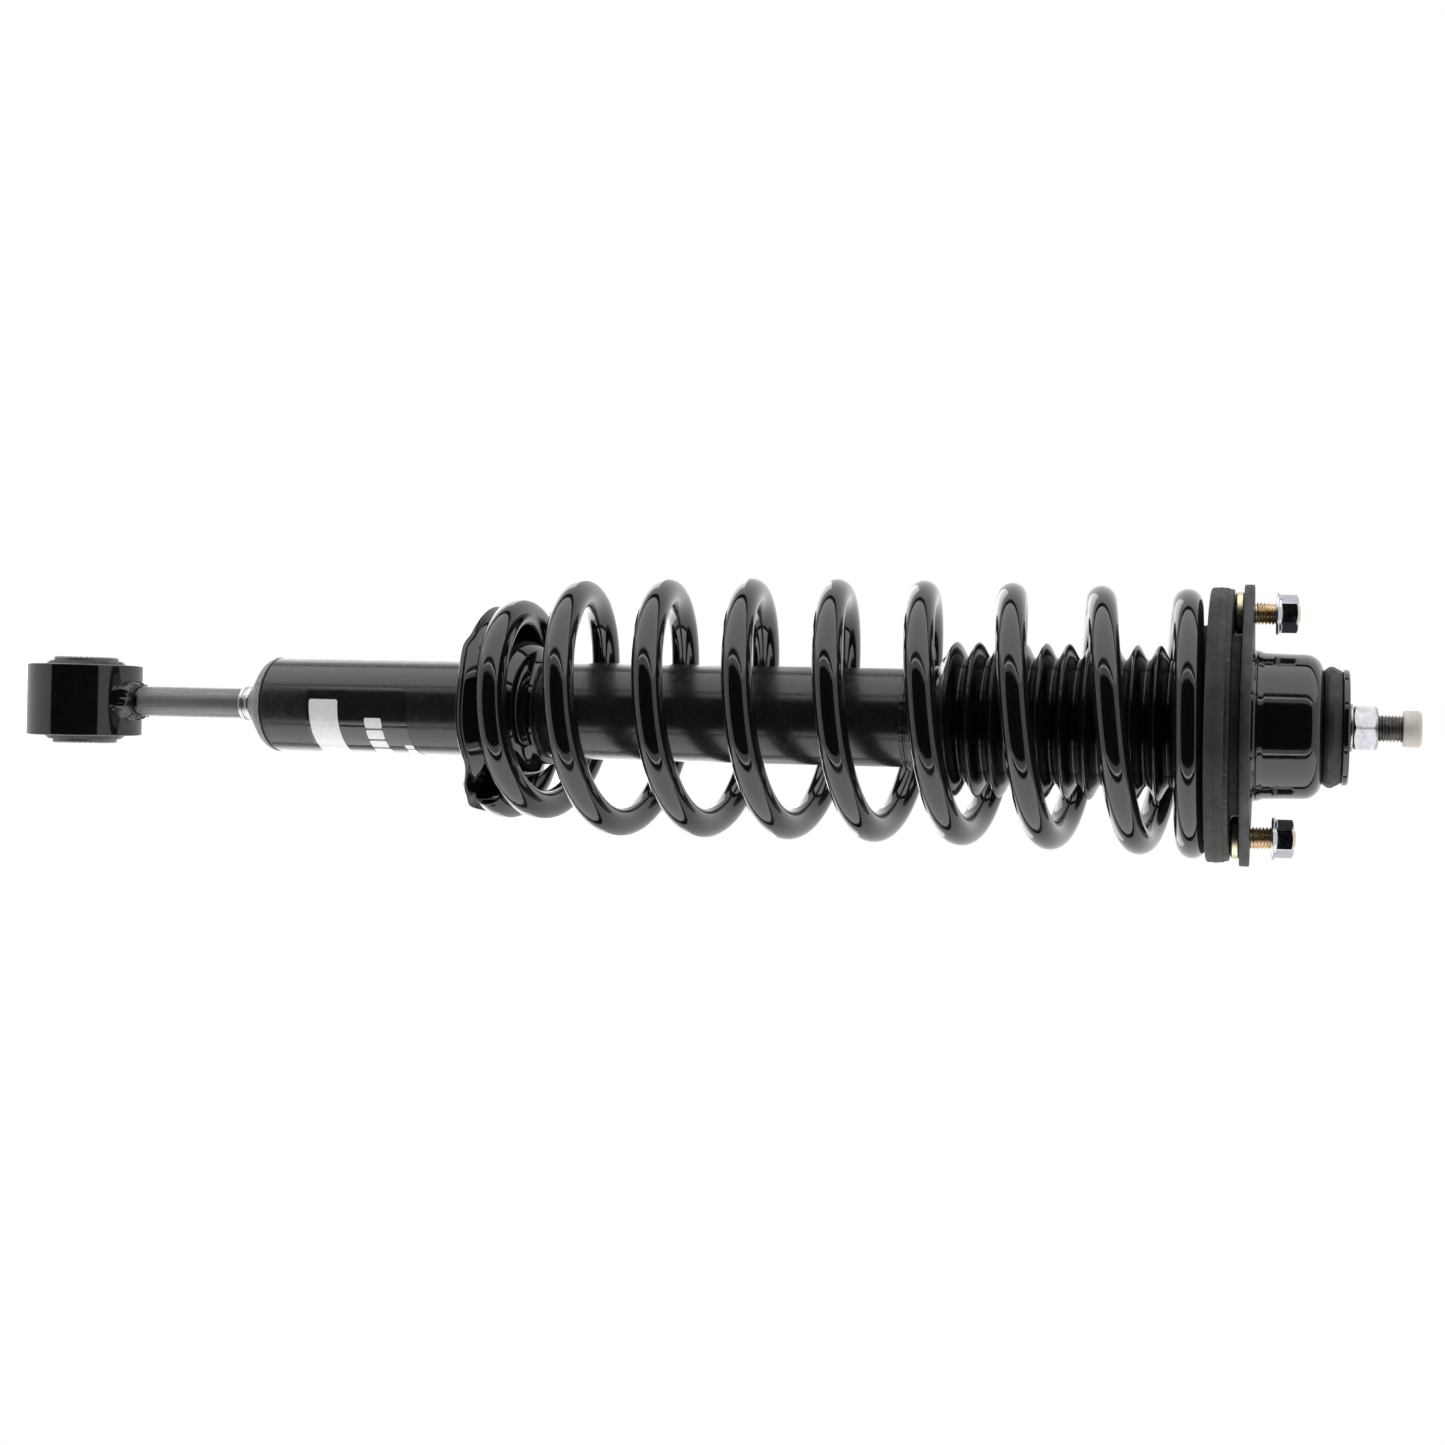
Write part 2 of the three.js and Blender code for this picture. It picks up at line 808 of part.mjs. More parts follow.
lowerEye(lowerUnit);
stemAndBase(lowerUnit);
damperBody(lowerUnit);
lowerSeat(lowerUnit);
tubeLabel(lowerUnit);

rodAndPiston(upperMount);
bumpStop(upperMount);
dustBoot(upperMount);
piece(upperMount, "coil_spring", coilSpring(), materials.glossBlack);
upperSeat(upperMount);
mountPlate(upperMount);
cushionCup(upperMount);
cushions(upperMount);
topNut(upperMount);
studsAndNuts(upperMount);
rodEndCap(upperMount);

export default strut;
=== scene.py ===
"""The looks of a coil-over strut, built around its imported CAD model.

Row frame, in metres: +Z runs along the strut's axis to the rod's threaded end, the eye's bore and the
two studs lie along X, and the origin is on the axis in the mount plate's top face. Every visible CAD
node is replaced by a finer mesh of the same size and place; the pieces inside the damper keep their
CAD meshes. Places and sizes come from the CAD nodes' boxes. Outlines are worked out in millimetres,
and make_piece turns them into metres.
"""

import math

import bpy
import numpy as np
from mathutils import Matrix, Vector, noise


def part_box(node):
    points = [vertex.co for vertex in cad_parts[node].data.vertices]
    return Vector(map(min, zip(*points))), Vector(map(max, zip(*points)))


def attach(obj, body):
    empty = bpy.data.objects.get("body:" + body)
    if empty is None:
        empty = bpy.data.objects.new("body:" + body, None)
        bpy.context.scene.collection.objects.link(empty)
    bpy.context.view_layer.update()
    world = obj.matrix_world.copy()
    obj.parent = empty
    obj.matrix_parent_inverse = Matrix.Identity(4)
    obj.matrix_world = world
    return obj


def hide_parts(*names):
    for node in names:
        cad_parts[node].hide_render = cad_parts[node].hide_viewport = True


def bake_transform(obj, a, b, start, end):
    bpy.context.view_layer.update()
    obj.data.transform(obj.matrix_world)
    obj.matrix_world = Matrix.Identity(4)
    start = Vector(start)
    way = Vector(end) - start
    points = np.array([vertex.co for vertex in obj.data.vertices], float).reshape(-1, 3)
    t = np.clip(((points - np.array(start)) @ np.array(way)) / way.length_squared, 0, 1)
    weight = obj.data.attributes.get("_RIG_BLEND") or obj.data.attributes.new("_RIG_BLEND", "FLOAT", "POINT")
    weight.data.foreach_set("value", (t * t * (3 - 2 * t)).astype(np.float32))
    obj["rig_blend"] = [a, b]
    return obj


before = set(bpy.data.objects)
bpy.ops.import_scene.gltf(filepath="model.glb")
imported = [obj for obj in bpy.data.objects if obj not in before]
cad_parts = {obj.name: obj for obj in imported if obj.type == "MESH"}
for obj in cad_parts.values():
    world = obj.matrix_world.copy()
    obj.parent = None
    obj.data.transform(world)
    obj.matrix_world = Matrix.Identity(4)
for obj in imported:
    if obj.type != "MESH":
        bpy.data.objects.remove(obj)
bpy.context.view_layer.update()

MM = 0.001
TURN = 2 * math.pi


# ------------------------------------------------------------------ camera and studio

def add_camera():
    """A long strut seen from its side, level with its top, turned a little towards the lower end."""
    lens_to_image = 1.293426  # focal length over the picture's width
    distance = 0.838
    height = 0.0167
    turn = math.radians(7.5)
    roll = math.radians(1.27)
    forward = Vector((0, math.cos(turn), -math.sin(turn)))
    level = Vector((0, math.sin(turn), math.cos(turn)))
    upright = Vector((-1, 0, 0))
    right = level * math.cos(roll) + upright * math.sin(roll)
    up = upright * math.cos(roll) - level * math.sin(roll)
    data = bpy.data.cameras.new("camera")
    data.sensor_width = 36
    data.lens = data.sensor_width * lens_to_image
    data.shift_x = -0.2225
    data.shift_y = -0.0010
    data.clip_start = 0.01
    camera = bpy.data.objects.new("camera", data)
    bpy.context.scene.collection.objects.link(camera)
    turned = Matrix((right, up, -forward)).transposed().to_4x4()
    camera.matrix_world = Matrix.Translation((0, -distance, height)) @ turned
    bpy.context.scene.camera = camera


def emitter(name, strength):
    material = bpy.data.materials.new(name)
    material.use_nodes = True
    nodes = material.node_tree.nodes
    nodes.clear()
    glow = nodes.new("ShaderNodeEmission")
    glow.inputs["Color"].default_value = (1, 1, 1, 1)
    glow.inputs["Strength"].default_value = strength
    out = nodes.new("ShaderNodeOutputMaterial")
    material.node_tree.links.new(glow.outputs[0], out.inputs["Surface"])
    return material


def panel(name, centre, along_x, along_z, facing, material):
    """A flat studio card, seen only by light and reflections."""
    half_x = along_x / 2
    half_z = along_z / 2
    mesh = bpy.data.meshes.new(name)
    corners = [(-half_x, -half_z, 0), (half_x, -half_z, 0), (half_x, half_z, 0), (-half_x, half_z, 0)]
    mesh.from_pydata(corners, [], [(0, 1, 2, 3)])
    mesh.materials.append(material)
    card = bpy.data.objects.new(name, mesh)
    bpy.context.scene.collection.objects.link(card)
    normal = Vector(facing).normalized()
    side = Vector((0, 0, 1)).cross(normal)
    if side.length < 0.1:
        side = Vector((1, 0, 0))
    side.normalize()
    lengthwise = normal.cross(side)
    turned = Matrix((side, lengthwise, normal)).transposed().to_4x4()
    card.matrix_world = Matrix.Translation(centre) @ turned
    card.visible_camera = False
    card.visible_shadow = False


def add_studio():
    scene = bpy.context.scene
    scene.view_settings.view_transform = "Standard"
    world = bpy.data.worlds.new("studio")
    world.use_nodes = True
    world.node_tree.nodes["Background"].inputs["Color"].default_value = (1, 1, 1, 1)
    world.node_tree.nodes["Background"].inputs["Strength"].default_value = 1.0
    scene.world = world

    # The near cards stand round a line just in front of the strut, at an angle from straight ahead.
    middle = -0.25
    near_middle = -0.07
    near_length = 2.7
    line = Vector((0, -0.055, 0))
    black = emitter("card_black", 0)
    panel("card_front", (0, -1.15, near_middle), 1.72, near_length, (0, 1, 0), black)
    for side in (-1, 1):
        for name, angle, reach, width, look in (
            ("strip", 46, 1.30, 0.03, emitter(f"strip_{side}", 6)),
            ("edge", 50.5, 1.28, 0.12, black),
        ):
            turn = math.radians(angle)
            away = Vector((side * math.sin(turn), -math.cos(turn), 0))
            place = line + away * reach + Vector((0, 0, near_middle))
            panel(f"{name}_card_{side}", place, width, near_length, -away, look)
        glow = emitter(f"softbox_{side}", 2.1)
        panel(f"softbox_card_{side}", (side * 1.15, -0.235, middle), 1.27, 4.7, (-side, 0, 0), glow)
        panel(f"gap_card_{side}", (side * 1.2, 0.5, middle), 0.16, 4.7, (-side, 0, 0), black)
    backlight = emitter("backlight", 2.6)
    panel("back_card", (0, 1.3, -1.45), 3.2, 1.6, (0, -1, 0), backlight)


# ------------------------------------------------------------------ materials

class Shader:
    """A Principled material and short calls for the textures that feed it."""

    def __init__(self, name, **uniform):
        self.material = bpy.data.materials.new(name)
        self.material.use_nodes = True
        self.tree = self.material.node_tree
        self.surface = self.tree.nodes["Principled BSDF"]
        self.place = self.node("ShaderNodeTexCoord").outputs["Object"]
        for socket, value in uniform.items():
            words = socket.replace("_", " ").title().replace("Ior", "IOR")
            self.surface.inputs[words].default_value = value

    def node(self, kind):
        return self.tree.nodes.new(kind)

    def link(self, source, target):
        self.tree.links.new(source, target)

    def stretched(self, scale):
        mapping = self.node("ShaderNodeMapping")
        mapping.inputs["Scale"].default_value = scale
        self.link(self.place, mapping.inputs["Vector"])
        return mapping.outputs["Vector"]

    def noise(self, scale, detail, place=None):
        texture = self.node("ShaderNodeTexNoise")
        texture.inputs["Scale"].default_value = scale
        texture.inputs["Detail"].default_value = detail
        texture.inputs["Roughness"].default_value = 0.55
        self.link(place or self.place, texture.inputs["Vector"])
        return texture.outputs["Fac"]

    def colour(self, value, *stops):
        ramp = self.node("ShaderNodeValToRGB")
        while len(ramp.color_ramp.elements) < len(stops):
            ramp.color_ramp.elements.new(0.5)
        for element, (position, colour) in zip(ramp.color_ramp.elements, stops):
            element.position = position
            element.color = (*colour, 1)
        self.link(value, ramp.inputs["Fac"])
        self.link(ramp.outputs["Color"], self.surface.inputs["Base Color"])

    def roughness(self, value, low, high):
        mapped = self.node("ShaderNodeMapRange")
        for socket, bound in zip(("From Min", "From Max", "To Min", "To Max"), (0.35, 0.65, low, high)):
            mapped.inputs[socket].default_value = bound
        self.link(value, mapped.inputs["Value"])
        self.link(mapped.outputs["Result"], self.surface.inputs["Roughness"])

    def bump(self, value, distance, strength, coat=False):
        bump = self.node("ShaderNodeBump")
        bump.inputs["Strength"].default_value = strength
        bump.inputs["Distance"].default_value = distance
        self.link(value, bump.inputs["Height"])
        self.link(bump.outputs["Normal"], self.surface.inputs["Normal"])
        if coat:
            self.link(bump.outputs["Normal"], self.surface.inputs["Coat Normal"])


def surface(name, mottle, tones, gloss, grain=None, coat_grain=False, at=(0.3, 0.7), **uniform):
    """A material whose colour, roughness and fine relief each follow their own noise.

    mottle: the colour noise's scale and detail. tones: its colours, and at: where each sits on the
    noise. gloss: scale, detail, lowest and highest roughness. grain: scale, detail, height in metres
    and strength.
    """
    look = Shader(name, **uniform)
    look.colour(look.noise(*mottle), *zip(at, tones))
    look.roughness(look.noise(*gloss[:2]), *gloss[2:])
    if grain:
        look.bump(look.noise(*grain[:2]), *grain[2:], coat=coat_grain)
    return look.material


def gloss_black_paint():
    """Thick dipped enamel: near black, mirror-like, with a faint ripple."""
    return surface(
        "gloss_black_paint", mottle=(900, 3),
        tones=((0.003, 0.003, 0.0033), (0.006, 0.006, 0.0065)),
        gloss=(160, 4, 0.05, 0.11), grain=(230, 2, 0.00005, 0.3), coat_grain=True,
        coat_weight=0.2, coat_roughness=0.03, specular_ior_level=0.5,
    )


def satin_black_paint():
    """The damper body's coat: black, half gloss, sprayed."""
    return surface(
        "satin_black_paint", mottle=(500, 3),
        tones=((0.009, 0.009, 0.0095), (0.014, 0.014, 0.015)),
        gloss=(240, 5, 0.19, 0.28), grain=(2600, 2, 0.00001, 0.3), coat_weight=0.1, coat_roughness=0.1,
    )


def black_rubber():
    return surface(
        "black_rubber", mottle=(90, 5),
        tones=((0.007, 0.007, 0.007), (0.014, 0.014, 0.014)),
        gloss=(300, 4, 0.42, 0.62), grain=(1500, 4, 0.00005, 0.5), specular_ior_level=0.4,
    )


def boot_rubber():
    """Moulded bellows rubber with a slight sheen."""
    return surface(
        "boot_rubber", mottle=(120, 4),
        tones=((0.002, 0.002, 0.0022), (0.004, 0.004, 0.0044)),
        gloss=(180, 4, 0.13, 0.22), grain=(1800, 3, 0.00001, 0.3), specular_ior_level=0.4,
    )


def grey_seat_rubber():
    return surface(
        "grey_seat_rubber", mottle=(70, 6),
        tones=((0.026, 0.025, 0.024), (0.046, 0.045, 0.043)),
        gloss=(260, 4, 0.6, 0.8), grain=(1300, 5, 0.0001, 0.6), specular_ior_level=0.35,
    )


def matte_grey_steel():
    """Phosphated plate: dark grey, dull, faintly mottled."""
    return surface(
        "matte_grey_steel", mottle=(110, 6),
        tones=((0.03, 0.03, 0.03), (0.06, 0.06, 0.059)),
        gloss=(320, 4, 0.45, 0.62), grain=(1500, 4, 0.00006, 0.5), metallic=0.3, specular_ior_level=0.4,
    )


def grey_steel():
    """Satin grey stem, drawn lengthwise."""
    steel = Shader("grey_steel", metallic=0.55)
    drawn = steel.noise(60, 4, place=steel.stretched((30, 30, 0.6)))
    steel.colour(drawn, (0.3, (0.13, 0.13, 0.13)), (0.7, (0.19, 0.19, 0.19)))
    steel.roughness(steel.noise(300, 4), 0.36, 0.5)
    steel.bump(drawn, 0.00003, 0.4)
    return steel.material


def bright_steel():
    steel = Shader("bright_steel", metallic=1.0)
    turned = steel.noise(40, 4, place=steel.stretched((1, 1, 60)))
    steel.colour(turned, (0.3, (0.5, 0.5, 0.51)), (0.7, (0.66, 0.67, 0.68)))
    steel.roughness(steel.noise(280, 4), 0.18, 0.32)
    steel.bump(turned, 0.00003, 0.4)
    return steel.material


def knurled_steel():
    return surface(
        "knurled_steel", mottle=(700, 5),
        tones=((0.17, 0.17, 0.17), (0.3, 0.3, 0.3)), at=(0.35, 0.65),
        gloss=(500, 4, 0.35, 0.6), grain=(2400, 5, 0.00012, 0.8), metallic=0.25,
    )


def threaded_steel():
    """The rod's threaded end: dark oiled steel."""
    return surface(
        "threaded_steel", mottle=(300, 5),
        tones=((0.12, 0.11, 0.1), (0.24, 0.23, 0.21)),
        gloss=(500, 3, 0.3, 0.45), grain=(1800, 3, 0.00004, 0.4), metallic=0.9,
    )


def bright_zinc():
    return surface(
        "bright_zinc", mottle=(120, 4),
        tones=((0.48, 0.49, 0.53), (0.53, 0.54, 0.58), (0.57, 0.58, 0.62)), at=(0.3, 0.55, 0.75),
        gloss=(350, 5, 0.16, 0.24), grain=(900, 4, 0.00001, 0.4), metallic=1.0,
    )


def shade_darkened_zinc():
    """Bright zinc in darker tones and with rougher gloss: painted shade that tones down the top nut's
    reflection of the light box.
    """
    return surface(
        "shade_darkened_zinc", mottle=(220, 6),
        tones=((0.33, 0.34, 0.36), (0.46, 0.47, 0.49)),
        gloss=(350, 5, 0.22, 0.34), grain=(900, 4, 0.00001, 0.4), metallic=1.0,
    )


def yellow_zinc():
    """Yellow passivate, with its pink and green bloom."""
    return surface(
        "yellow_zinc", mottle=(260, 5),
        tones=((0.52, 0.41, 0.25), (0.68, 0.56, 0.37), (0.70, 0.55, 0.42), (0.64, 0.60, 0.42)),
        at=(0.3, 0.5, 0.62, 0.75),
        gloss=(400, 4, 0.22, 0.38), grain=(1400, 4, 0.00005, 0.4), metallic=1.0,
    )


def pale_zinc():
    return surface(
        "pale_zinc", mottle=(240, 5),
        tones=((0.62, 0.55, 0.36), (0.76, 0.70, 0.5), (0.8, 0.76, 0.6)), at=(0.3, 0.6, 0.75),
        gloss=(400, 4, 0.25, 0.4), grain=(1400, 4, 0.00005, 0.4), metallic=0.9,
    )


def cap_plastic():
    return surface(
        "cap_plastic", mottle=(200, 4),
        tones=((0.5, 0.46, 0.41), (0.62, 0.58, 0.52)),
        gloss=(300, 3, 0.3, 0.45), grain=(900, 3, 0.00004, 0.4), specular_ior_level=0.5,
    )


def label_film():
    return surface(
        "label_film", mottle=(400, 3),
        tones=((0.008, 0.008, 0.010), (0.013, 0.013, 0.016)),
        gloss=(120, 3, 0.12, 0.2), grain=(90, 2, 0.00005, 0.4), coat_weight=0.5, coat_roughness=0.05,
    )


def label_white():
    return surface(
        "label_white", mottle=(300, 3),
        tones=((0.70, 0.71, 0.72), (0.78, 0.78, 0.79)),
        gloss=(120, 3, 0.25, 0.35), coat_weight=0.4, coat_roughness=0.06,
    )


def sintered_iron():
    return surface(
        "sintered_iron", mottle=(900, 6),
        tones=((0.05, 0.05, 0.05), (0.15, 0.15, 0.155)), at=(0.35, 0.7),
        gloss=(600, 4, 0.45, 0.7), grain=(2200, 5, 0.0001, 0.7), metallic=0.8,
    )


def bearing_bronze():
    return surface(
        "bearing_bronze", mottle=(500, 5),
        tones=((0.28, 0.16, 0.07), (0.42, 0.26, 0.12)),
        gloss=(400, 4, 0.3, 0.5), metallic=1.0,
    )


def ptfe_band():
    return surface(
        "ptfe_band", mottle=(600, 4),
        tones=((0.03, 0.03, 0.03), (0.06, 0.06, 0.058)),
        gloss=(300, 4, 0.5, 0.65),
    )


def urethane_foam():
    """Microcellular foam with tiny pits."""
    return surface(
        "urethane_foam", mottle=(400, 6),
        tones=((0.5, 0.4, 0.22), (0.66, 0.56, 0.34)),
        gloss=(600, 4, 0.6, 0.8), grain=(3000, 5, 0.00012, 0.7), specular_ior_level=0.3,
    )


# ------------------------------------------------------------------ mesh tools

def rounded(points, closed=True, arc_steps=5):
    """An outline with its corners rounded: a point is (r, z) or (r, z, corner radius)."""
    count = len(points)
    outline = []
    for i, point in enumerate(points):
        here = Vector(point[:2])
        radius = point[2] if len(point) > 2 else 0
        at_end = not closed and i in (0, count - 1)
        if radius <= 0 or at_end:
            outline.append(here)
            continue
        back = Vector(points[i - 1][:2]) - here
        ahead = Vector(points[(i + 1) % count][:2]) - here
        angle = back.angle(ahead)
        if abs(math.pi - angle) < 1e-3:
            outline.append(here)
            continue
        along = min(radius / math.tan(angle / 2), 0.49 * back.length, 0.49 * ahead.length)
        start = here + back.normalized() * along
        end = here + ahead.normalized() * along
        reach = along * math.tan(angle / 2)
        centre = here + (back.normalized() + ahead.normalized()).normalized() * reach / math.sin(angle / 2)
        first = start - centre
        last = end - centre
        sweep = first.angle_signed(last)
        for k in range(arc_steps + 1):
            turned = Matrix.Rotation(-sweep * k / arc_steps, 2) @ first
            outline.append(centre + turned)
    return [(p.x, p.y) for p in outline]


def make_piece(name, verts, faces, material, body, stands_for=(), sharp=35):
    """One mesh object in a body, in place of some CAD nodes, with the given material.
    """
    mesh = bpy.data.meshes.new(name)
    mesh.from_pydata([[c * MM for c in v] for v in verts], [], faces)
    mesh.validate()
    mesh.materials.append(material)
    mesh.polygons.foreach_set("use_smooth", [True] * len(mesh.polygons))
    mesh.set_sharp_from_angle(angle=math.radians(sharp))
    mesh.update()
    obj = bpy.data.objects.new(name, mesh)
    bpy.context.scene.collection.objects.link(obj)
    if body:
        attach(obj, body)
    if stands_for:
        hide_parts(*stands_for)
    return obj


def ring_faces(steps, count, closed=True):
    """Quads between outlines of count points set round Z, the last outline joined to the first."""
    faces = []
    for i in range(steps):
        here = i * count
        there = (i + 1) % steps * count
        for j in range(count if closed else count - 1):
            k = (j + 1) % count
            faces.append((here + j, there + j, there + k, here + k))
    return faces


def bar_faces(rows, around):
    """Quads between rows of points round a bar. Two points follow the rows, one for each end's fan."""
    faces = []
    base = rows * around
    top = base - around
    for k in range(around):
        n = (k + 1) % around
        for i in range(0, top, around):
            faces.append((i + k, i + n, i + around + n, i + around + k))
        faces.append((base, n, k))
        faces.append((base + 1, top + k, top + n))
    return faces


def swept(section, steps):
    """A ring about Z, where section(angle) gives the (r, z) outline at that angle."""
    verts = []
    for i in range(steps):
        angle = TURN * i / steps
        outline = section(angle)
        verts += [(r * math.cos(angle), r * math.sin(angle), z) for r, z in outline]
    return verts, outward(verts, ring_faces(steps, len(outline)))


def lathe(profile, steps=96, closed=True, wobble=None):
    """Vertices and faces of a profile of (radius, z) turned about Z.

    A closed profile is a ring clear of the axis. An open one starts and ends on the axis.
    wobble(angle, r, z) may move a point and returns its new (r, z).
    """
    inner = profile if closed else profile[1:-1]
    verts = []
    for i in range(steps):
        angle = TURN * i / steps
        for r, z in inner:
            if wobble:
                r, z = wobble(angle, r, z)
            verts.append((r * math.cos(angle), r * math.sin(angle), z))
    count = len(inner)
    faces = ring_faces(steps, count, closed)
    if not closed:
        first = len(verts)
        verts.append((0, 0, profile[0][1]))
        verts.append((0, 0, profile[-1][1]))
        for i in range(steps):
            here = i * count
            there = (i + 1) % steps * count
            faces.append((first, there, here))
            faces.append((first + 1, here + count - 1, there + count - 1))
    return verts, outward(verts, faces)


def outward(verts, faces):
    """The same faces, turned to face out if the solid's volume comes out negative."""
    points = np.array(verts, float)
    corners = [(face[0], face[j], face[j + 1]) for face in faces for j in range(1, len(face) - 1)]
    a, b, c = points[np.array(corners)].transpose(1, 0, 2)
    volume = np.einsum("ij,ij->", a, np.cross(b, c))
    return faces if volume > 0 else [tuple(reversed(face)) for face in faces]


def turned_piece(name, profile, material, body, stands_for=(), closed=True, steps=96,
                 arc_steps=5, wobble=None, sharp=35, place=None):
    verts, faces = lathe(rounded(profile, closed, arc_steps), steps, closed, wobble)
    if place:
        verts = moved(verts, place)
    make_piece(name, verts, faces, material, body, stands_for, sharp)


def moved(verts, matrix):
    return [tuple(matrix @ Vector(v)) for v in verts]


def box_of(node):
    return [Vector(corner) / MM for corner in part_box(node)]


def size_of(node):
    """A round node's outer radius, and its lowest and highest z."""
    low, high = box_of(node)
    return (high.x - low.x) / 2, low.z, high.z


def thread_rows(radius, depth, pitch, bottom, top, around=48, per_pitch=8):
    """A threaded bar's side as rows of points from bottom to top, with run-outs at both ends."""
    rows = max(2, int((top - bottom) / pitch * per_pitch))
    grid = []
    for i in range(rows + 1):
        z = bottom + (top - bottom) * i / rows
        fade = min(1, (z - bottom) / (0.6 * pitch), (top - z) / (0.6 * pitch))
        row = []
        for k in range(around):
            phase = (z / pitch - k / around) % 1
            crest = 1 - abs(2 * phase - 1)
            ridge = min(max((crest - 0.12) / 0.72, 0), 1)
            low = radius - depth
            r = low + (radius - low) * (ridge if fade >= 1 else ridge * max(fade, 0))
            row.append((r, z))
        grid.append(row)
    return grid


def threaded_bar(rows, below, above, around=48):
    """A closed bar: the threaded rows, with plain (r, z) rings added below and above them."""
    rings = [[point] * around for point in below] + rows + [[point] * around for point in above]
    verts = []
    for ring in rings:
        for k, (r, z) in enumerate(ring):
            angle = TURN * k / around
            verts.append((r * math.cos(angle), r * math.sin(angle), z))
    verts.append((0, 0, rings[0][0][1]))
    verts.append((0, 0, rings[-1][0][1]))
    return verts, outward(verts, bar_faces(len(rings), around))


# ------------------------------------------------------------------ lower end

def build_eye(gloss, rubber, steel):
    """The ring, its bush and its sleeve, turned about Z and then laid along X."""
    low, high = box_of("lower_eye")
    centre = (low + high) / 2
    laid = Matrix.Translation(centre) @ Matrix.Rotation(TURN / 4, 4, "Y")
    outer = (high.y - low.y) / 2
    half = (high.x - low.x) / 2
    bush_low, bush_high = box_of("eye_bush_rubber")
    inner = (bush_high.y - bush_low.y) / 2 + 0.3
    lip = (bush_high.x - bush_low.x) / 2
    sleeve_low, sleeve_high = box_of("eye_inner_sleeve")
    sleeve_radius = (sleeve_high.y - sleeve_low.y) / 2
    sleeve_half = (sleeve_high.x - sleeve_low.x) / 2
    bolt_radius = 7.1

    edge = 0.7
    ring = [(inner, -half, edge), (outer, -half, edge), (outer, half, edge), (inner, half, edge)]
    turned_piece("lower_eye_ring", ring, gloss, "lower_unit", ["lower_eye"], steps=128, place=laid)

    hold = sleeve_radius + 0.25
    foot = 17.2
    crown = 15.6
    recess = half - 1.2
    bush_edge = inner - 0.25
    side = [
        (bush_edge, recess, 0.4), (foot + 1.2, recess - 0.6, 1), (foot, half + 0.4, 0.8),
        (crown, lip, 0.8), (hold, lip, 0.3),
    ]
    mirrored = [(r, -z, corner) for r, z, corner in reversed(side)]
    turned_piece("eye_bush", side + mirrored, rubber, "lower_unit", ["eye_bush_rubber"], place=laid)

    teeth = 36
    tooth = 0.28

    def serrated(angle, r, z):
        if abs(z) > sleeve_half - 0.05 and r > bolt_radius + 0.7:
            dip = abs((angle / TURN * teeth) % 1 - 0.5) * 2
            z -= math.copysign(dip * tooth, z)
        return r, z

    top = [
        (bolt_radius, sleeve_half - 0.5), (bolt_radius + 0.5, sleeve_half - 0.3),
        (bolt_radius + 0.9, sleeve_half), (sleeve_radius - 0.5, sleeve_half),
        (sleeve_radius, sleeve_half - 0.7),
    ]
    bottom = [(r, -z) for r, z in reversed(top)]
    turned_piece(
        "eye_sleeve_serrated", top + bottom, steel, "eye_sleeve", ["eye_inner_sleeve"],
        steps=teeth * 4, wobble=serrated, sharp=20, place=laid,
    )


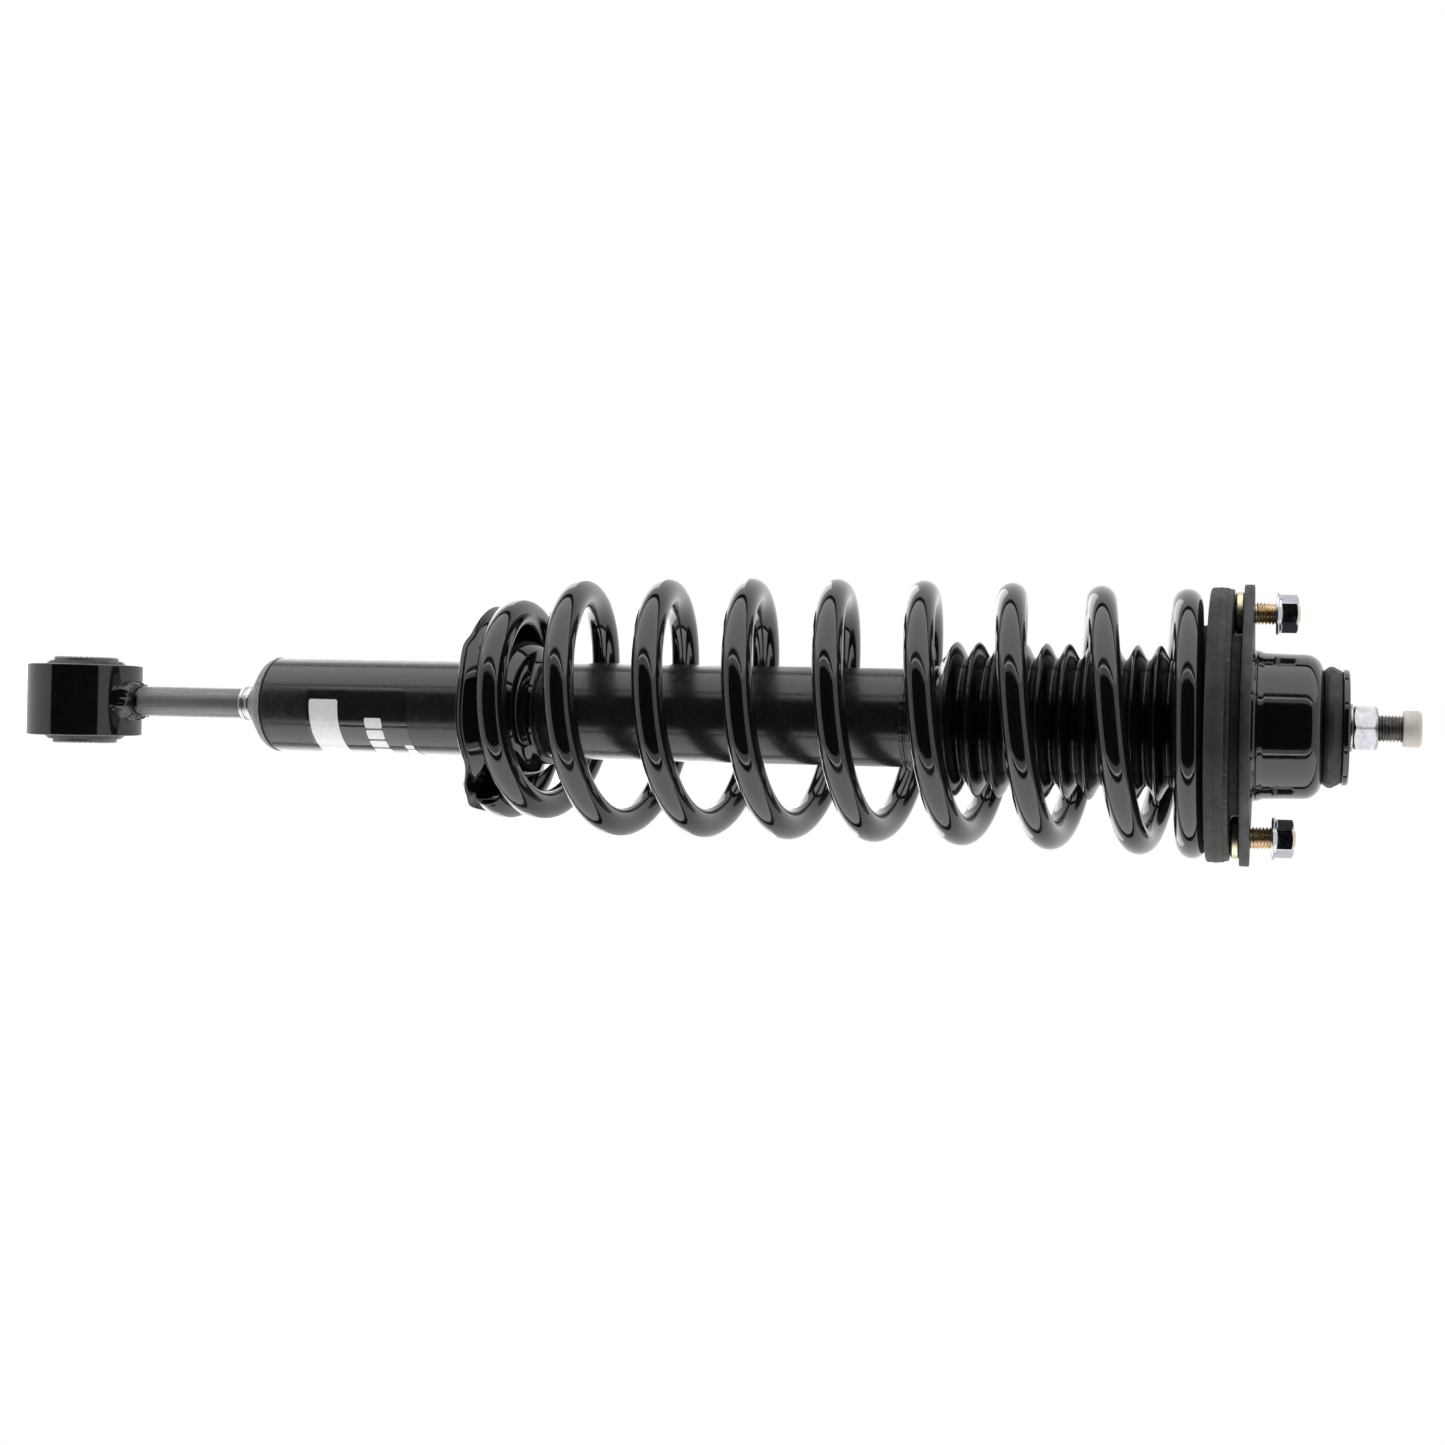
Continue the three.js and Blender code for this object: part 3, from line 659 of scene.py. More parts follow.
def build_weld_and_stem(gloss, steel, bright, knurled):
    weld_radius, weld_low, weld_high = size_of("eye_weld")
    weld_high -= 3.4
    stem_radius, stem_low, stem_high = size_of("extension_stem")
    eye_low, eye_high = box_of("lower_eye")
    eye_radius = (eye_high.z - eye_low.z) / 2

    def lumpy(angle, r, z):
        share = (r - stem_radius) / (weld_radius - stem_radius)
        sag = eye_radius - math.sqrt(eye_radius ** 2 - (1.1 * r * math.sin(angle)) ** 2)
        ripple = noise.noise(Vector((3.2 * math.cos(angle), 3.2 * math.sin(angle), z * 0.26)))
        fine = noise.noise(Vector((9 * math.cos(angle), 9 * math.sin(angle), z * 0.7 + 5)))
        narrow = 1.25 - 4 * math.cos(angle) ** 2
        r += max(share, 0) * (1.1 * ripple + 0.4 * fine + narrow)
        z -= sag * max(0, 1 - (z - weld_low) / (weld_high - weld_low))
        return r, z + 0.5 * ripple * min(max(share, 0), 1)

    bead = [(stem_radius - 0.3, weld_low - 0.6), (weld_radius + 1.2, weld_low - 0.8)]
    rows = 14
    for i in range(rows + 1):
        turn = i / rows * math.pi / 2
        r = stem_radius + (weld_radius - stem_radius + 0.6) * math.cos(turn) ** 0.8
        bead.append((r, weld_low + (weld_high - weld_low) * math.sin(turn)))
    bead.append((stem_radius - 0.3, weld_high))
    turned_piece(
        "eye_weld_bead", bead, gloss, "lower_unit", ["eye_weld"], steps=120, wobble=lumpy, sharp=60,
    )

    # The coat on the eye runs a little way up the stem, to a soft edge.
    painted_top = weld_high + 1.6

    def uneven(angle, r, z):
        if z > weld_high:
            z += 0.6 * noise.noise(Vector((2 * math.cos(angle), 2 * math.sin(angle), 4)))
        return r, z

    sleeve = [
        (stem_radius - 0.2, weld_low), (stem_radius + 0.12, weld_low),
        (stem_radius + 0.12, painted_top - 0.5), (stem_radius + 0.02, painted_top),
        (stem_radius - 0.2, painted_top),
    ]
    turned_piece("stem_paint_edge", sleeve, gloss, "lower_unit", wobble=uneven)

    stem = [(0, stem_low), (stem_radius, stem_low, 0.5), (stem_radius, stem_high, 0.5), (0, stem_high)]
    turned_piece("stem_bar", stem, steel, "lower_unit", ["extension_stem"], closed=False)

    collar_radius, collar_low, collar_high = size_of("stem_collar")
    step = (collar_high - collar_low) / 6
    bore = stem_radius + 0.05
    collar = [
        (bore, collar_low + 0.3), (collar_radius - 1.1, collar_low, 0.4),
        (collar_radius - 0.3, collar_low + step, 0.5),
        (collar_radius - 0.3, collar_low + 2 * step, 0.4),
        (collar_radius - 1.3, collar_low + 2.6 * step, 0.4),
        (collar_radius - 0.9, collar_low + 3.4 * step, 0.4),
        (collar_radius, collar_low + 4.2 * step, 0.5), (collar_radius, collar_high, 0.3),
        (bore, collar_high),
    ]
    turned_piece("stem_collar_rings", collar, bright, "lower_unit", ["stem_collar"])

    cap_radius, cap_low, cap_high = size_of("base_cap")
    cap = [
        (bore, cap_low), (9.2, cap_low, 0.5), (9.8, cap_low + 2.4, 1),
        (13.6, cap_low + 3.4, 1.5), (cap_radius, cap_low + 6.4, 1.5),
        (cap_radius, cap_high), (bore, cap_high),
    ]
    turned_piece("base_cap_dome", cap, knurled, "lower_unit", ["base_cap"], arc_steps=8)


# ------------------------------------------------------------------ damper body

BAND = 5.2  # the rolled edge at the tube's lower end
BAND_END_RADIUS = 18.6


def build_damper_tube(satin, knurled):
    radius, bottom, top = size_of("damper_tube")
    wall = 2
    lip = 16.5

    # The side is split from the knurled edge at the band's upper end.
    side = [
        (radius - wall, bottom + BAND), (radius - 0.9, bottom + BAND, 0.15),
        (radius - 0.9, bottom + BAND + 0.6, 0.2), (radius, bottom + BAND + 1.3, 0.5),
        (radius, top, 1.2), (lip, top, 0.5), (lip, top - wall),
        (radius - wall, top - wall, 0.8),
    ]
    turned_piece("damper_tube_body", side, satin, "lower_unit", ["damper_tube"], steps=160)

    def edge_radius(share):
        """The rolled edge's outline, from its small end to the full tube."""
        bulge = math.sin(share * math.pi / 2) ** 0.75
        return BAND_END_RADIUS + (radius - 0.1 - BAND_END_RADIUS) * bulge

    rows = 18
    knurls = 62
    inner = BAND_END_RADIUS - 2.6

    def section(angle):
        outline = [(inner, bottom + 0.2)]
        for i in range(rows + 1):
            share = i / rows
            crossed = math.sin(knurls * angle + share * 9) * math.sin(knurls * angle - share * 9)
            relief = 0.24 * crossed if 0.05 < share < 0.95 else 0
            outline.append((edge_radius(share) + relief, bottom + BAND * share))
        return outline + [(radius - wall, bottom + BAND), (inner, bottom + BAND)]

    verts, faces = swept(section, 220)
    make_piece("tube_rolled_edge", verts, faces, knurled, "lower_unit", sharp=50)


def build_striker_cap(satin):
    """A ribbed cap on the tube's top end, which the boot's cuff grips."""
    radius, bottom, top = size_of("striker_cap")
    tube_radius, _, tube_top = size_of("damper_tube")
    inner = tube_radius + 0.1
    ribs = 40

    def ribbed(angle, r, z):
        if r > inner + 0.6 and z < top - 1.5:
            r -= 0.175 * (1 + abs(math.sin(ribs * angle / 2)) ** 0.5)
        return r, z

    groove = 0.5
    outline = [
        (inner, bottom), (radius, bottom, 0.3), (radius, bottom + 1.6),
        (radius - groove, bottom + 2), (radius - groove, bottom + 2.6),
        (radius, bottom + 3), (radius, top, 1.5), (10, top, 0.5), (10, tube_top + 0.3),
        (inner, tube_top + 0.3),
    ]
    turned_piece(
        "striker_cap_ribbed", outline, satin, "lower_unit", ["striker_cap"],
        steps=ribs * 8, wobble=ribbed,
    )


def wrapped_patch(name, radius, thickness, angles, heights, corner, material, stands_for=()):
    """A thin sticker on a round tube, with rounded corners. Its angles are in degrees."""
    from_deg, to_deg = angles
    z_low, z_high = heights
    wide = math.radians(to_deg - from_deg) * radius
    tall = z_high - z_low
    corner = min(corner, 0.49 * wide, 0.49 * tall)
    columns = max(6, int(wide / 0.6))
    positions = sorted(
        {wide * i / columns for i in range(columns + 1)}
        | {corner * (1 - math.cos(k * math.pi / 16)) for k in range(9)}
        | {wide - corner * (1 - math.cos(k * math.pi / 16)) for k in range(9)}
    )
    verts = []
    for along in positions:
        near = min(along, wide - along)
        inset = 0
        if near < corner:
            inset = corner - math.sqrt(max(corner ** 2 - (corner - near) ** 2, 0))
        inset = min(inset, corner - 0.02)
        angle = math.radians(from_deg) + along / radius
        for r in (radius, radius + thickness):
            for z in (z_low + inset, z_high - inset):
                verts.append((r * math.cos(angle), r * math.sin(angle), z))
    faces = []
    for i in range(len(positions) - 1):
        a = 4 * i
        b = a + 4
        faces += [(a, a + 1, b + 1, b), (a + 2, b + 2, b + 3, a + 3)]
        faces += [(a, b, b + 2, a + 2), (a + 1, a + 3, b + 3, b + 1)]
    last = 4 * (len(positions) - 1)
    faces += [(0, 2, 3, 1), (last, last + 1, last + 3, last + 2)]
    faces = outward(verts, faces)
    make_piece(name, verts, faces, material, "lower_unit", stands_for, sharp=40)


def build_label(film, white):
    """A plain label: a dark film, a white block at its lower end and a few plain bars, no lettering."""
    low, high = box_of("tube_label")
    tube_radius = size_of("damper_tube")[0]
    base = tube_radius + 0.02
    film_thickness = 0.1
    start = 248
    end = 378
    whole = (low.z, high.z)
    wrapped_patch("tube_label_film", base, film_thickness, (start, end), whole, 4, film, ["tube_label"])
    # Plain blocks stand in for the printing: offset from the low end, height, first angle, sweep, corner.
    blocks = [("label_white_block", 1.6, 14, start + 15, end - start - 19, 1.2)]
    blocks += [(f"label_bar_{i + 1}", 28.4, 8.2, 284 + 15.5 * i, 13, 0.9) for i in range(5)]
    blocks += [(f"label_bar_{i + 6}", 44.6, 4.2, 322 + 9.5 * i, 8, 0.9) for i in range(4)]
    print_radius = base + film_thickness + 0.01
    ink = 0.04
    for name, offset, tall, first, sweep, corner in blocks:
        heights = (low.z + offset, low.z + offset + tall)
        wrapped_patch(name, print_radius, ink, (first, first + sweep), heights, corner, white)


# ------------------------------------------------------------------ spring and its seats

WIRE = 6.75
COIL = 53.25  # radius of the wire's centre line
SEAT_COIL = 44.75  # the lowest turn's
PITCH = 40.4
START_TURN = -0.09
END_TURN = 9.05
LEAD_IN = (-0.05, 1.35)
LEAD_OUT = (8.3, 8.85)
BOW = 3


def smoothstep(value, low, high):
    t = min(max((value - low) / (high - low), 0), 1)
    return t * t * (3 - 2 * t)


def eased_rise(turn, span):
    start, end = span
    if turn <= start:
        return 0
    if turn >= end:
        return turn - (start + end) / 2
    return (turn - start) ** 2 / (2 * (end - start))


def wire_height(turn):
    rise = eased_rise(turn, LEAD_IN) - eased_rise(turn, LEAD_OUT)
    return -345.5 + PITCH * rise


def wire_centre(turn):
    radius = SEAT_COIL + (COIL - SEAT_COIL) * smoothstep(turn, 0.9, 1.4)
    shift = -BOW * math.sin(math.pi * max(turn, 0) / END_TURN)
    angle = TURN * turn
    return Vector((radius * math.cos(angle) + shift, radius * math.sin(angle), wire_height(turn)))


def share_of_travel(mesh, weights):
    mesh.attributes["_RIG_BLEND"].data.foreach_set("value", np.asarray(weights, np.float32))


def build_spring(gloss):
    """The wire: rounds of points square to its line, with chamfered cut ends."""
    per_turn = 72
    around = 28
    steps = int((END_TURN - START_TURN) * per_turn)
    end_rounds = ((0, 0.86), (0.35, 0.95), (0.9, 1))
    length = TURN * COIL
    stations = [(START_TURN + along / length, scale) for along, scale in end_rounds]
    first = START_TURN + 1.5 / length
    last = END_TURN - 1.5 / length
    stations += [(first + (last - first) * i / steps, 1) for i in range(steps + 1)]
    stations += [(END_TURN - along / length, scale) for along, scale in reversed(end_rounds)]
    low = wire_height(START_TURN)
    high = wire_height(END_TURN)
    verts = []
    weights = []
    for turn, scale in stations:
        centre = wire_centre(turn)
        tangent = (wire_centre(turn + 0.002) - wire_centre(turn - 0.002)).normalized()
        outwards = Vector((math.cos(TURN * turn), math.sin(TURN * turn), 0))
        across = (outwards - tangent * outwards.dot(tangent)).normalized()
        upwards = tangent.cross(across)
        share = 1 - min(max((centre.z - low) / (high - low), 0), 1)
        for k in range(around):
            angle = TURN * k / around
            point = centre + (across * math.cos(angle) + upwards * math.sin(angle)) * WIRE * scale
            verts.append(tuple(point))
            weights.append(share)
    for weight, end in ((weights[0], START_TURN), (weights[-1], END_TURN)):
        verts.append(tuple(wire_centre(end)))
        weights.append(weight)
    faces = outward(verts, bar_faces(len(stations), around))
    spring = make_piece("coil_spring_wire", verts, faces, gloss, None, ["coil_spring"], sharp=40)
    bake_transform(spring, "upper_mount", "lower_unit", start=(0, 0, high * MM), end=(0, 0, low * MM))
    share_of_travel(spring.data, weights)


def build_lower_seat(gloss):
    """The pressed pan: its floor climbs with the wire, steps down behind the wire's cut end, and its
    edge turns down in a skirt with a flared, wavy rim."""
    radius, bottom, hub_top = size_of("lower_spring_seat")
    tube_radius = size_of("damper_tube")[0]
    collar_inner = tube_radius + 0.05
    collar_outer = tube_radius + 2.9
    sheet = 2.6
    climb_end = 0.83
    clearance = WIRE + 0.12

    def floor_height(turn):
        if turn <= climb_end:
            return wire_height(turn) - clearance
        start = wire_height(START_TURN) - clearance
        drop = smoothstep(turn, climb_end, 1 + START_TURN - 0.01)
        return wire_height(climb_end) - clearance + (start - wire_height(climb_end) + clearance) * drop

    def hub_side(foot, low):
        neck = hub_top - 2.5
        side = []
        for i in range(1, 9):
            share = i / 8
            bulge = math.sqrt(1 - share * share)
            r = collar_outer + (foot - collar_outer) * (0.55 * bulge + 0.45 * (1 - share))
            side.append((r, low + (neck - low) * share))
        return side

    def section(angle):
        turn = angle / TURN
        floor = floor_height(turn)
        climb = max((floor - wire_height(0) + clearance) / 10, 0)
        wave = 0.7 * math.sin(3 * angle + 0.6) + 0.5 * math.sin(7 * angle + 2)
        skirt = floor - (3.6 + 5 * climb) + 0.7 * wave
        tab = math.exp(-((turn - 0.935) / 0.022) ** 2)
        step = smoothstep(turn, 0.62, 0.655) * (1 - smoothstep(turn, 0.78, 0.90))
        edge = radius + 0.25 * wave + 0.8 * tab - 1.4 - 0.8 * (1 - step)
        skirt += 1.7 - 1.7 * step - 2.2 * tab
        foot = SEAT_COIL - 9.5
        nest = 1.2  # the floor is pressed to the wire's round
        return [
            (collar_inner, bottom), (collar_outer - 0.4, bottom),
            (collar_outer, bottom + 0.5),
            (collar_outer, max(floor - sheet - 4, bottom + 1)),
            (collar_outer + 1, floor - sheet - 1.4),
            (collar_outer + 3.4, floor - sheet - 0.2), (38, floor - sheet - 0.2),
            (42.5, floor - sheet - 0.3), (44.6, floor - sheet - 1.6),
            (edge - 4.6, skirt + 1.2), (edge - 1.6, skirt), (edge - 0.3, skirt),
            (edge, skirt + 0.4), (edge - 0.3, skirt + 1), (edge - 1.5, skirt + 1.7),
            (edge - 2.9, skirt + 2.9), (edge - 3.4, floor - 0.2), (SEAT_COIL + 0.4, floor),
            (SEAT_COIL - 2.5, floor + 0.15), (SEAT_COIL - 5, floor + nest * 0.6),
            (SEAT_COIL - 7.4, floor + nest * 1.5), (foot, floor + nest * 2),
            *hub_side(foot, floor + nest * 2), (collar_outer, hub_top - 0.5),
            (collar_outer - 0.5, hub_top), (collar_inner, hub_top),
        ]

    verts, faces = swept(section, 360)
    make_piece("lower_seat_pan", verts, faces, gloss, "lower_unit", ["lower_spring_seat"], sharp=60)

    weld_radius, weld_low, weld_high = size_of("seat_weld")

    def rippled(angle, r, z):
        share = (r - tube_radius) / (weld_radius - tube_radius)
        drift = noise.noise(Vector((2 * math.cos(angle), 2 * math.sin(angle), 0)))
        return r + 0.22 * math.sin(52 * angle + 3 * drift) * max(share, 0), z

    bead = [(tube_radius - 0.2, weld_high + 0.3), (tube_radius - 0.2, weld_low)]
    for i in range(9):
        turn = i / 8 * math.pi / 2
        r = tube_radius + (weld_radius - tube_radius) * math.sin(turn)
        bead.append((r, weld_high + 0.3 - (weld_high - weld_low) * math.cos(turn)))
    turned_piece(
        "seat_weld_bead", bead, gloss, "lower_unit", ["seat_weld"], steps=360, wobble=rippled, sharp=60,
    )


def build_boot(rubber):
    """Eleven folds with round crests and sharper valleys, a flange above and a cuff below."""
    radius, bottom, top = size_of("dust_boot")
    crest = 35.2
    valley = 28.2
    wall = 1.2
    folds = 11
    tube_top = size_of("damper_tube")[2]
    bellows_low = tube_top + 6
    bellows_high = -26
    fold = (bellows_high - bellows_low) / folds
    per_fold = 16

    def fold_radius(share):
        """A round crest and a tight valley."""
        wave = 0.5 - 0.5 * math.cos(TURN * share)
        return valley + (crest - valley) * (0.8 * wave + 0.2 * (1 - abs(2 * share - 1)))

    outside = []
    for i in range(folds * per_fold + 1):
        share = i / per_fold
        outside.append((fold_radius(share % 1), bellows_low + share * fold))
    inside = []
    for i, (r, z) in enumerate(outside):
        r_back, z_back = outside[max(i - 1, 0)]
        r_next, z_next = outside[min(i + 1, len(outside) - 1)]
        slope = Vector((r_next - r_back, z_next - z_back)).normalized()
        inside.append((r - slope.y * wall * 0.9, z + slope.x * wall * 0.35))
    flange_low = top - 1.8
    neck = [
        (valley, flange_low - 1.5), (valley + 0.8, flange_low - 0.3),
        (radius - 0.5, flange_low), (radius, flange_low + 0.5), (radius, top - 0.5),
        (radius - 0.5, top), (valley - wall, top),
    ]
    cuff_inner = 21.2
    cuff = [
        (cuff_inner + 1.6, bellows_low - 1.6), (cuff_inner, bellows_low - 2.2),
        (cuff_inner, bottom), (cuff_inner + 1.6, bottom),
        (cuff_inner + 2.4, bellows_low - 1.2),
    ]
    outline = outside + neck + inside[::-1] + cuff
    verts, faces = lathe(outline, 96)
    boot = make_piece(
        "dust_boot_bellows", verts, faces, rubber, None, ["dust_boot"], sharp=70,
    )
    ends = {"start": (0, 0, bellows_high * MM), "end": (0, 0, bellows_low * MM)}
    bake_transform(boot, "upper_mount", "lower_unit", **ends)
    heights = np.array([v[2] for v in verts])
    share_of_travel(boot.data, np.clip((bellows_high - heights) / (bellows_high - bellows_low), 0, 1))


def build_upper_seat(seat_rubber, rubber):
    radius, bottom, top = size_of("upper_insulator")
    shelf = wire_height(END_TURN) + WIRE + 0.1
    inner = 36.5
    middle = (shelf + top) / 2
    outline = [
        (inner, bottom, 1), (inner + 7, bottom, 2.5), (inner + 8.2, shelf, 1.5),
        (radius - 2, shelf, 0.5), (radius - 1, shelf - 0.6, 0.5),
        (radius - 0.1, shelf + 0.2, 0.8), (radius, middle - 0.25),
        (radius + 0.25, middle - 0.1), (radius + 0.25, middle + 0.1),
        (radius, middle + 0.25), (radius - 0.2, top, 0.9), (inner, top, 0.5),
    ]
    turned_piece(
        "upper_insulator_ring", outline, seat_rubber, "upper_mount", ["upper_insulator"], steps=160,
    )

    def ragged(angle, r, z):
        if r > inner + 20:
            r += 0.35 * noise.noise(Vector((40 * math.cos(angle), 40 * math.sin(angle), z * 0.9)))
        return r, z

    layer_top = box_of("stud_1")[0].z - 0.3
    layer = [
        (46.8, top - 0.2), (radius - 0.7, top - 0.2, 0.2), (radius - 0.9, layer_top, 0.3),
        (46.8, layer_top),
    ]
    turned_piece(
        "upper_insulator_layer", layer, rubber, "upper_mount",
        steps=480, wobble=ragged,
    )

    # The pad under the plate is cut back in two layers, to clear each stud's head.
    low, high = box_of("upper_spring_seat")
    pad_radius = (high.y - low.y) / 2
    hole = 24
    line = low.z + 1.5
    layers = ((44, low.z, line), (39.9, line + 0.05, high.z))
    for i, (flat, floor, ceiling) in enumerate(layers):

        def clipped(angle, r, z, flat=flat):
            edge = min(pad_radius, flat / max(abs(math.cos(angle)), 0.01))
            share = max(r - hole, 0) / (pad_radius - hole)
            return r - (pad_radius - edge) * share ** 6, z

        outer = pad_radius - 0.5 * i
        outline = [(hole, floor, 0.3), (outer, floor, 0.3), (outer, ceiling, 0.4), (hole, ceiling, 0.3)]
        turned_piece(
            f"upper_spring_seat_layer_{i + 1}", outline, seat_rubber, "upper_mount",
            ["upper_spring_seat"] if i == 0 else (), steps=720, wobble=clipped,
        )


# ------------------------------------------------------------------ top mount

def build_plate(steel):
    """A rounded diamond with a hole for the cup: two tips at the studs, and straight tangents."""
    low, high = box_of("mount_plate")
    big = (high.y - low.y) / 2
    stud_x = box_of("stud_2")[1].x - size_of("stud_2")[0]
    tip = high.x - stud_x
    hole = 33.5
    tangent = math.acos((big - tip) / stud_x)
    edge = []
    arcs = (
        (stud_x, tip, -tangent, tangent, 40),
        (0, big, tangent, math.pi - tangent, 60),
        (-stud_x, tip, math.pi - tangent, math.pi + tangent, 40),
        (0, big, math.pi + tangent, TURN - tangent, 60),
    )
    for centre, radius, start, end, count in arcs:
        for k in range(count + 1):
            angle = start + (end - start) * k / count
            normal = Vector((math.cos(angle), math.sin(angle)))
            edge.append((Vector((centre, 0)) + normal * radius, normal))
    bevel = 0.5
    section = ((bevel, low.z), (0.15, low.z + 0.15), (0, low.z + bevel))
    section += ((0, high.z - bevel), (0.15, high.z - 0.15), (bevel, high.z))
    verts = []
    for point, normal in edge:
        for inset, z in section:
            rough = 0.12 * noise.noise(Vector((point.x * 0.3, point.y * 0.3, z * 0.4)))
            place = point - normal * (inset + rough)
            verts.append((place.x, place.y, z))
        away = point.normalized() * hole
        verts.append((away.x, away.y, high.z))
        verts.append((away.x, away.y, low.z))
    faces = outward(verts, ring_faces(len(edge), len(section) + 2))
    make_piece("mount_plate_pressed", verts, faces, steel, "upper_mount", ["mount_plate"], sharp=30)


def build_cup(gloss):
    radius, bottom, top = size_of("cushion_cup")
    wall = 2.5
    outer = 32.25
    outline = [
        (outer - wall, bottom, 0.6), (radius, bottom, 0.4), (radius, bottom + 2.2, 0.4),
        (outer + 1.9, bottom + 2.2), (outer + 1.9, 0.9, 0.5), (outer + 1.2, 1.7, 0.5),
        (outer + 1.3, 2.6, 0.6), (outer + 0.3, 5.2, 3), (outer, 14, 6),
        (outer - 0.3, top, 8.2), (15, top, 0.6), (15, top - wall, 0.4),
        (outer - wall - 0.3, top - wall, 5.8), (outer - wall, 2.6, 1),
    ]
    turned_piece(
        "cushion_cup_drawn", outline, gloss, "upper_mount", ["cushion_cup"],
        steps=160, arc_steps=12,
    )


def build_cushion_stack(rubber, gloss):
    radius, bottom, _ = size_of("upper_cushion")
    seat = size_of("cushion_cup")[2] + 0.1
    bore = 9.2
    washer_radius, washer_low, washer_high = size_of("retainer_washer")
    crown = washer_low - 0.05
    waist = (seat + crown) / 2
    outline = [
        (bore, bottom), (14.7, bottom, 0.5), (14.7, seat), (radius - 1.6, seat, 0.8),
        (radius + 0.1, waist - 1.6, 1.8), (radius, waist + 0.2, 1.6),
        (radius - 0.9, crown - 2.2, 0.8), (radius - 2, crown, 0.7), (bore, crown),
    ]
    turned_piece("upper_cushion_rubber", outline, rubber, "upper_mount", ["upper_cushion"], arc_steps=8)

    thread = 6.2
    dish = 0.7
    outline = [
        (thread, washer_low, 0.2), (washer_radius - 1.2, washer_low, 0.8),
        (washer_radius, washer_low + 0.5, 0.5), (washer_radius, washer_high - 1, 0.6),
        (washer_radius - 0.8, washer_high - 0.3, 0.5), (15, washer_high, 2),
        (13.6, washer_high - dish * 0.4, 0.8), (thread, washer_high - dish * 0.4, 0.3),
    ]
    turned_piece("retainer_washer_disc", outline, gloss, "upper_mount", ["retainer_washer"], steps=128)


def hex_nut(across_flats, bottom, top, bore, first_corner, chamfer_low, chamfer_high, dome=0, steps=144):
    """A closed nut: at each angle, a section through hexagon, chamfers and bore.

    chamfer_low and chamfer_high are how far the corners drop back at each face.
    """
    flat = across_flats / 2
    corner = flat / math.cos(math.pi / 6)
    slope = math.tan(math.radians(30))

    def section(angle):
        local = (angle - first_corner + math.pi / 6) % (math.pi / 3) - math.pi / 6
        reach = flat / math.cos(math.pi / 6 - abs(local))
        reach = min(reach, corner - 0.12)

        def chamfered(depth):
            ring = flat - 0.4 if depth else reach
            return min(ring, reach), max(reach - ring, 0) * slope if depth else 0.15

        ring_low, drop_low = chamfered(chamfer_low)
        ring_high, drop_high = chamfered(chamfer_high)
        return [
            (bore, bottom + 0.6), (bore + 0.6, bottom), (ring_low - 0.2, bottom),
            (reach, bottom + drop_low + 0.1), (reach, top - drop_high - 0.1 - dome),
            (ring_high - 0.2, top - dome * 0.55), (ring_high - 1.6, top - dome * 0.12),
            (bore + 0.8, top), (bore, top - 0.7),
        ]

    return swept(section, steps)


def build_top_nut(zinc):
    low, high = box_of("top_nut")
    bore = 6
    verts, faces = hex_nut(high.x - low.x, low.z, high.z, bore, TURN / 4, 1, 1, dome=0.9)
    make_piece("top_nut_hex", verts, faces, zinc, "upper_mount", ["top_nut"], sharp=22)
    radius, bottom, top = size_of("top_nut_washer")
    outline = [(bore, bottom), (radius, bottom, 0.25), (radius, top, 0.3), (bore, top)]
    turned_piece("top_nut_washer_disc", outline, zinc, "upper_mount", ["top_nut_washer"])


def build_rod(bright, threaded):
    radius, bottom, top = size_of("piston_rod")
    shoulder = -6.2
    tenon = 5
    tenon_top = -198
    thread_start = size_of("retainer_washer")[2] + 0.3
    major = 5.95
    shank = [
        (0, bottom), (tenon, bottom, 0.5), (tenon, tenon_top), (radius, tenon_top, 0.4),
        (radius, shoulder, 0.4), (major, shoulder, 0.2), (major, thread_start),
        (0, thread_start),
    ]
    turned_piece(
        "piston_rod_bar", shank, bright, "upper_mount", ["piston_rod"], closed=False,
    )
    start = thread_start + 0.02
    rows = thread_rows(major, 0.85, 1.5, start + 0.3, top - 1.2)
    below = [(4, start), (5, start + 0.05)]
    above = [(4.9, top - 0.8), (4.2, top)]
    verts, faces = threaded_bar(rows, below, above)
    make_piece("rod_thread", verts, faces, threaded, "upper_mount", sharp=45)


def build_rod_cap(plastic):
    radius, bottom, top = size_of("rod_end_cap")
    inner = 6.05
    rod_top = size_of("piston_rod")[2]
    outline = [
        (0, rod_top + 0.2), (inner, rod_top + 0.2, 0.3), (inner, bottom, 0.3),
        (radius - 0.5, bottom, 0.4), (radius - 0.1, bottom + 0.7, 0.3),
        (radius, top - 1.4, 0.6), (radius - 0.9, top, 0.9), (3.2, top, 0.4),
        (2.6, top - 0.5, 0.3), (0, top - 0.5),
    ]
    turned_piece("rod_cap_moulded", outline, plastic, "end_cap", ["rod_end_cap"], closed=False, arc_steps=6)


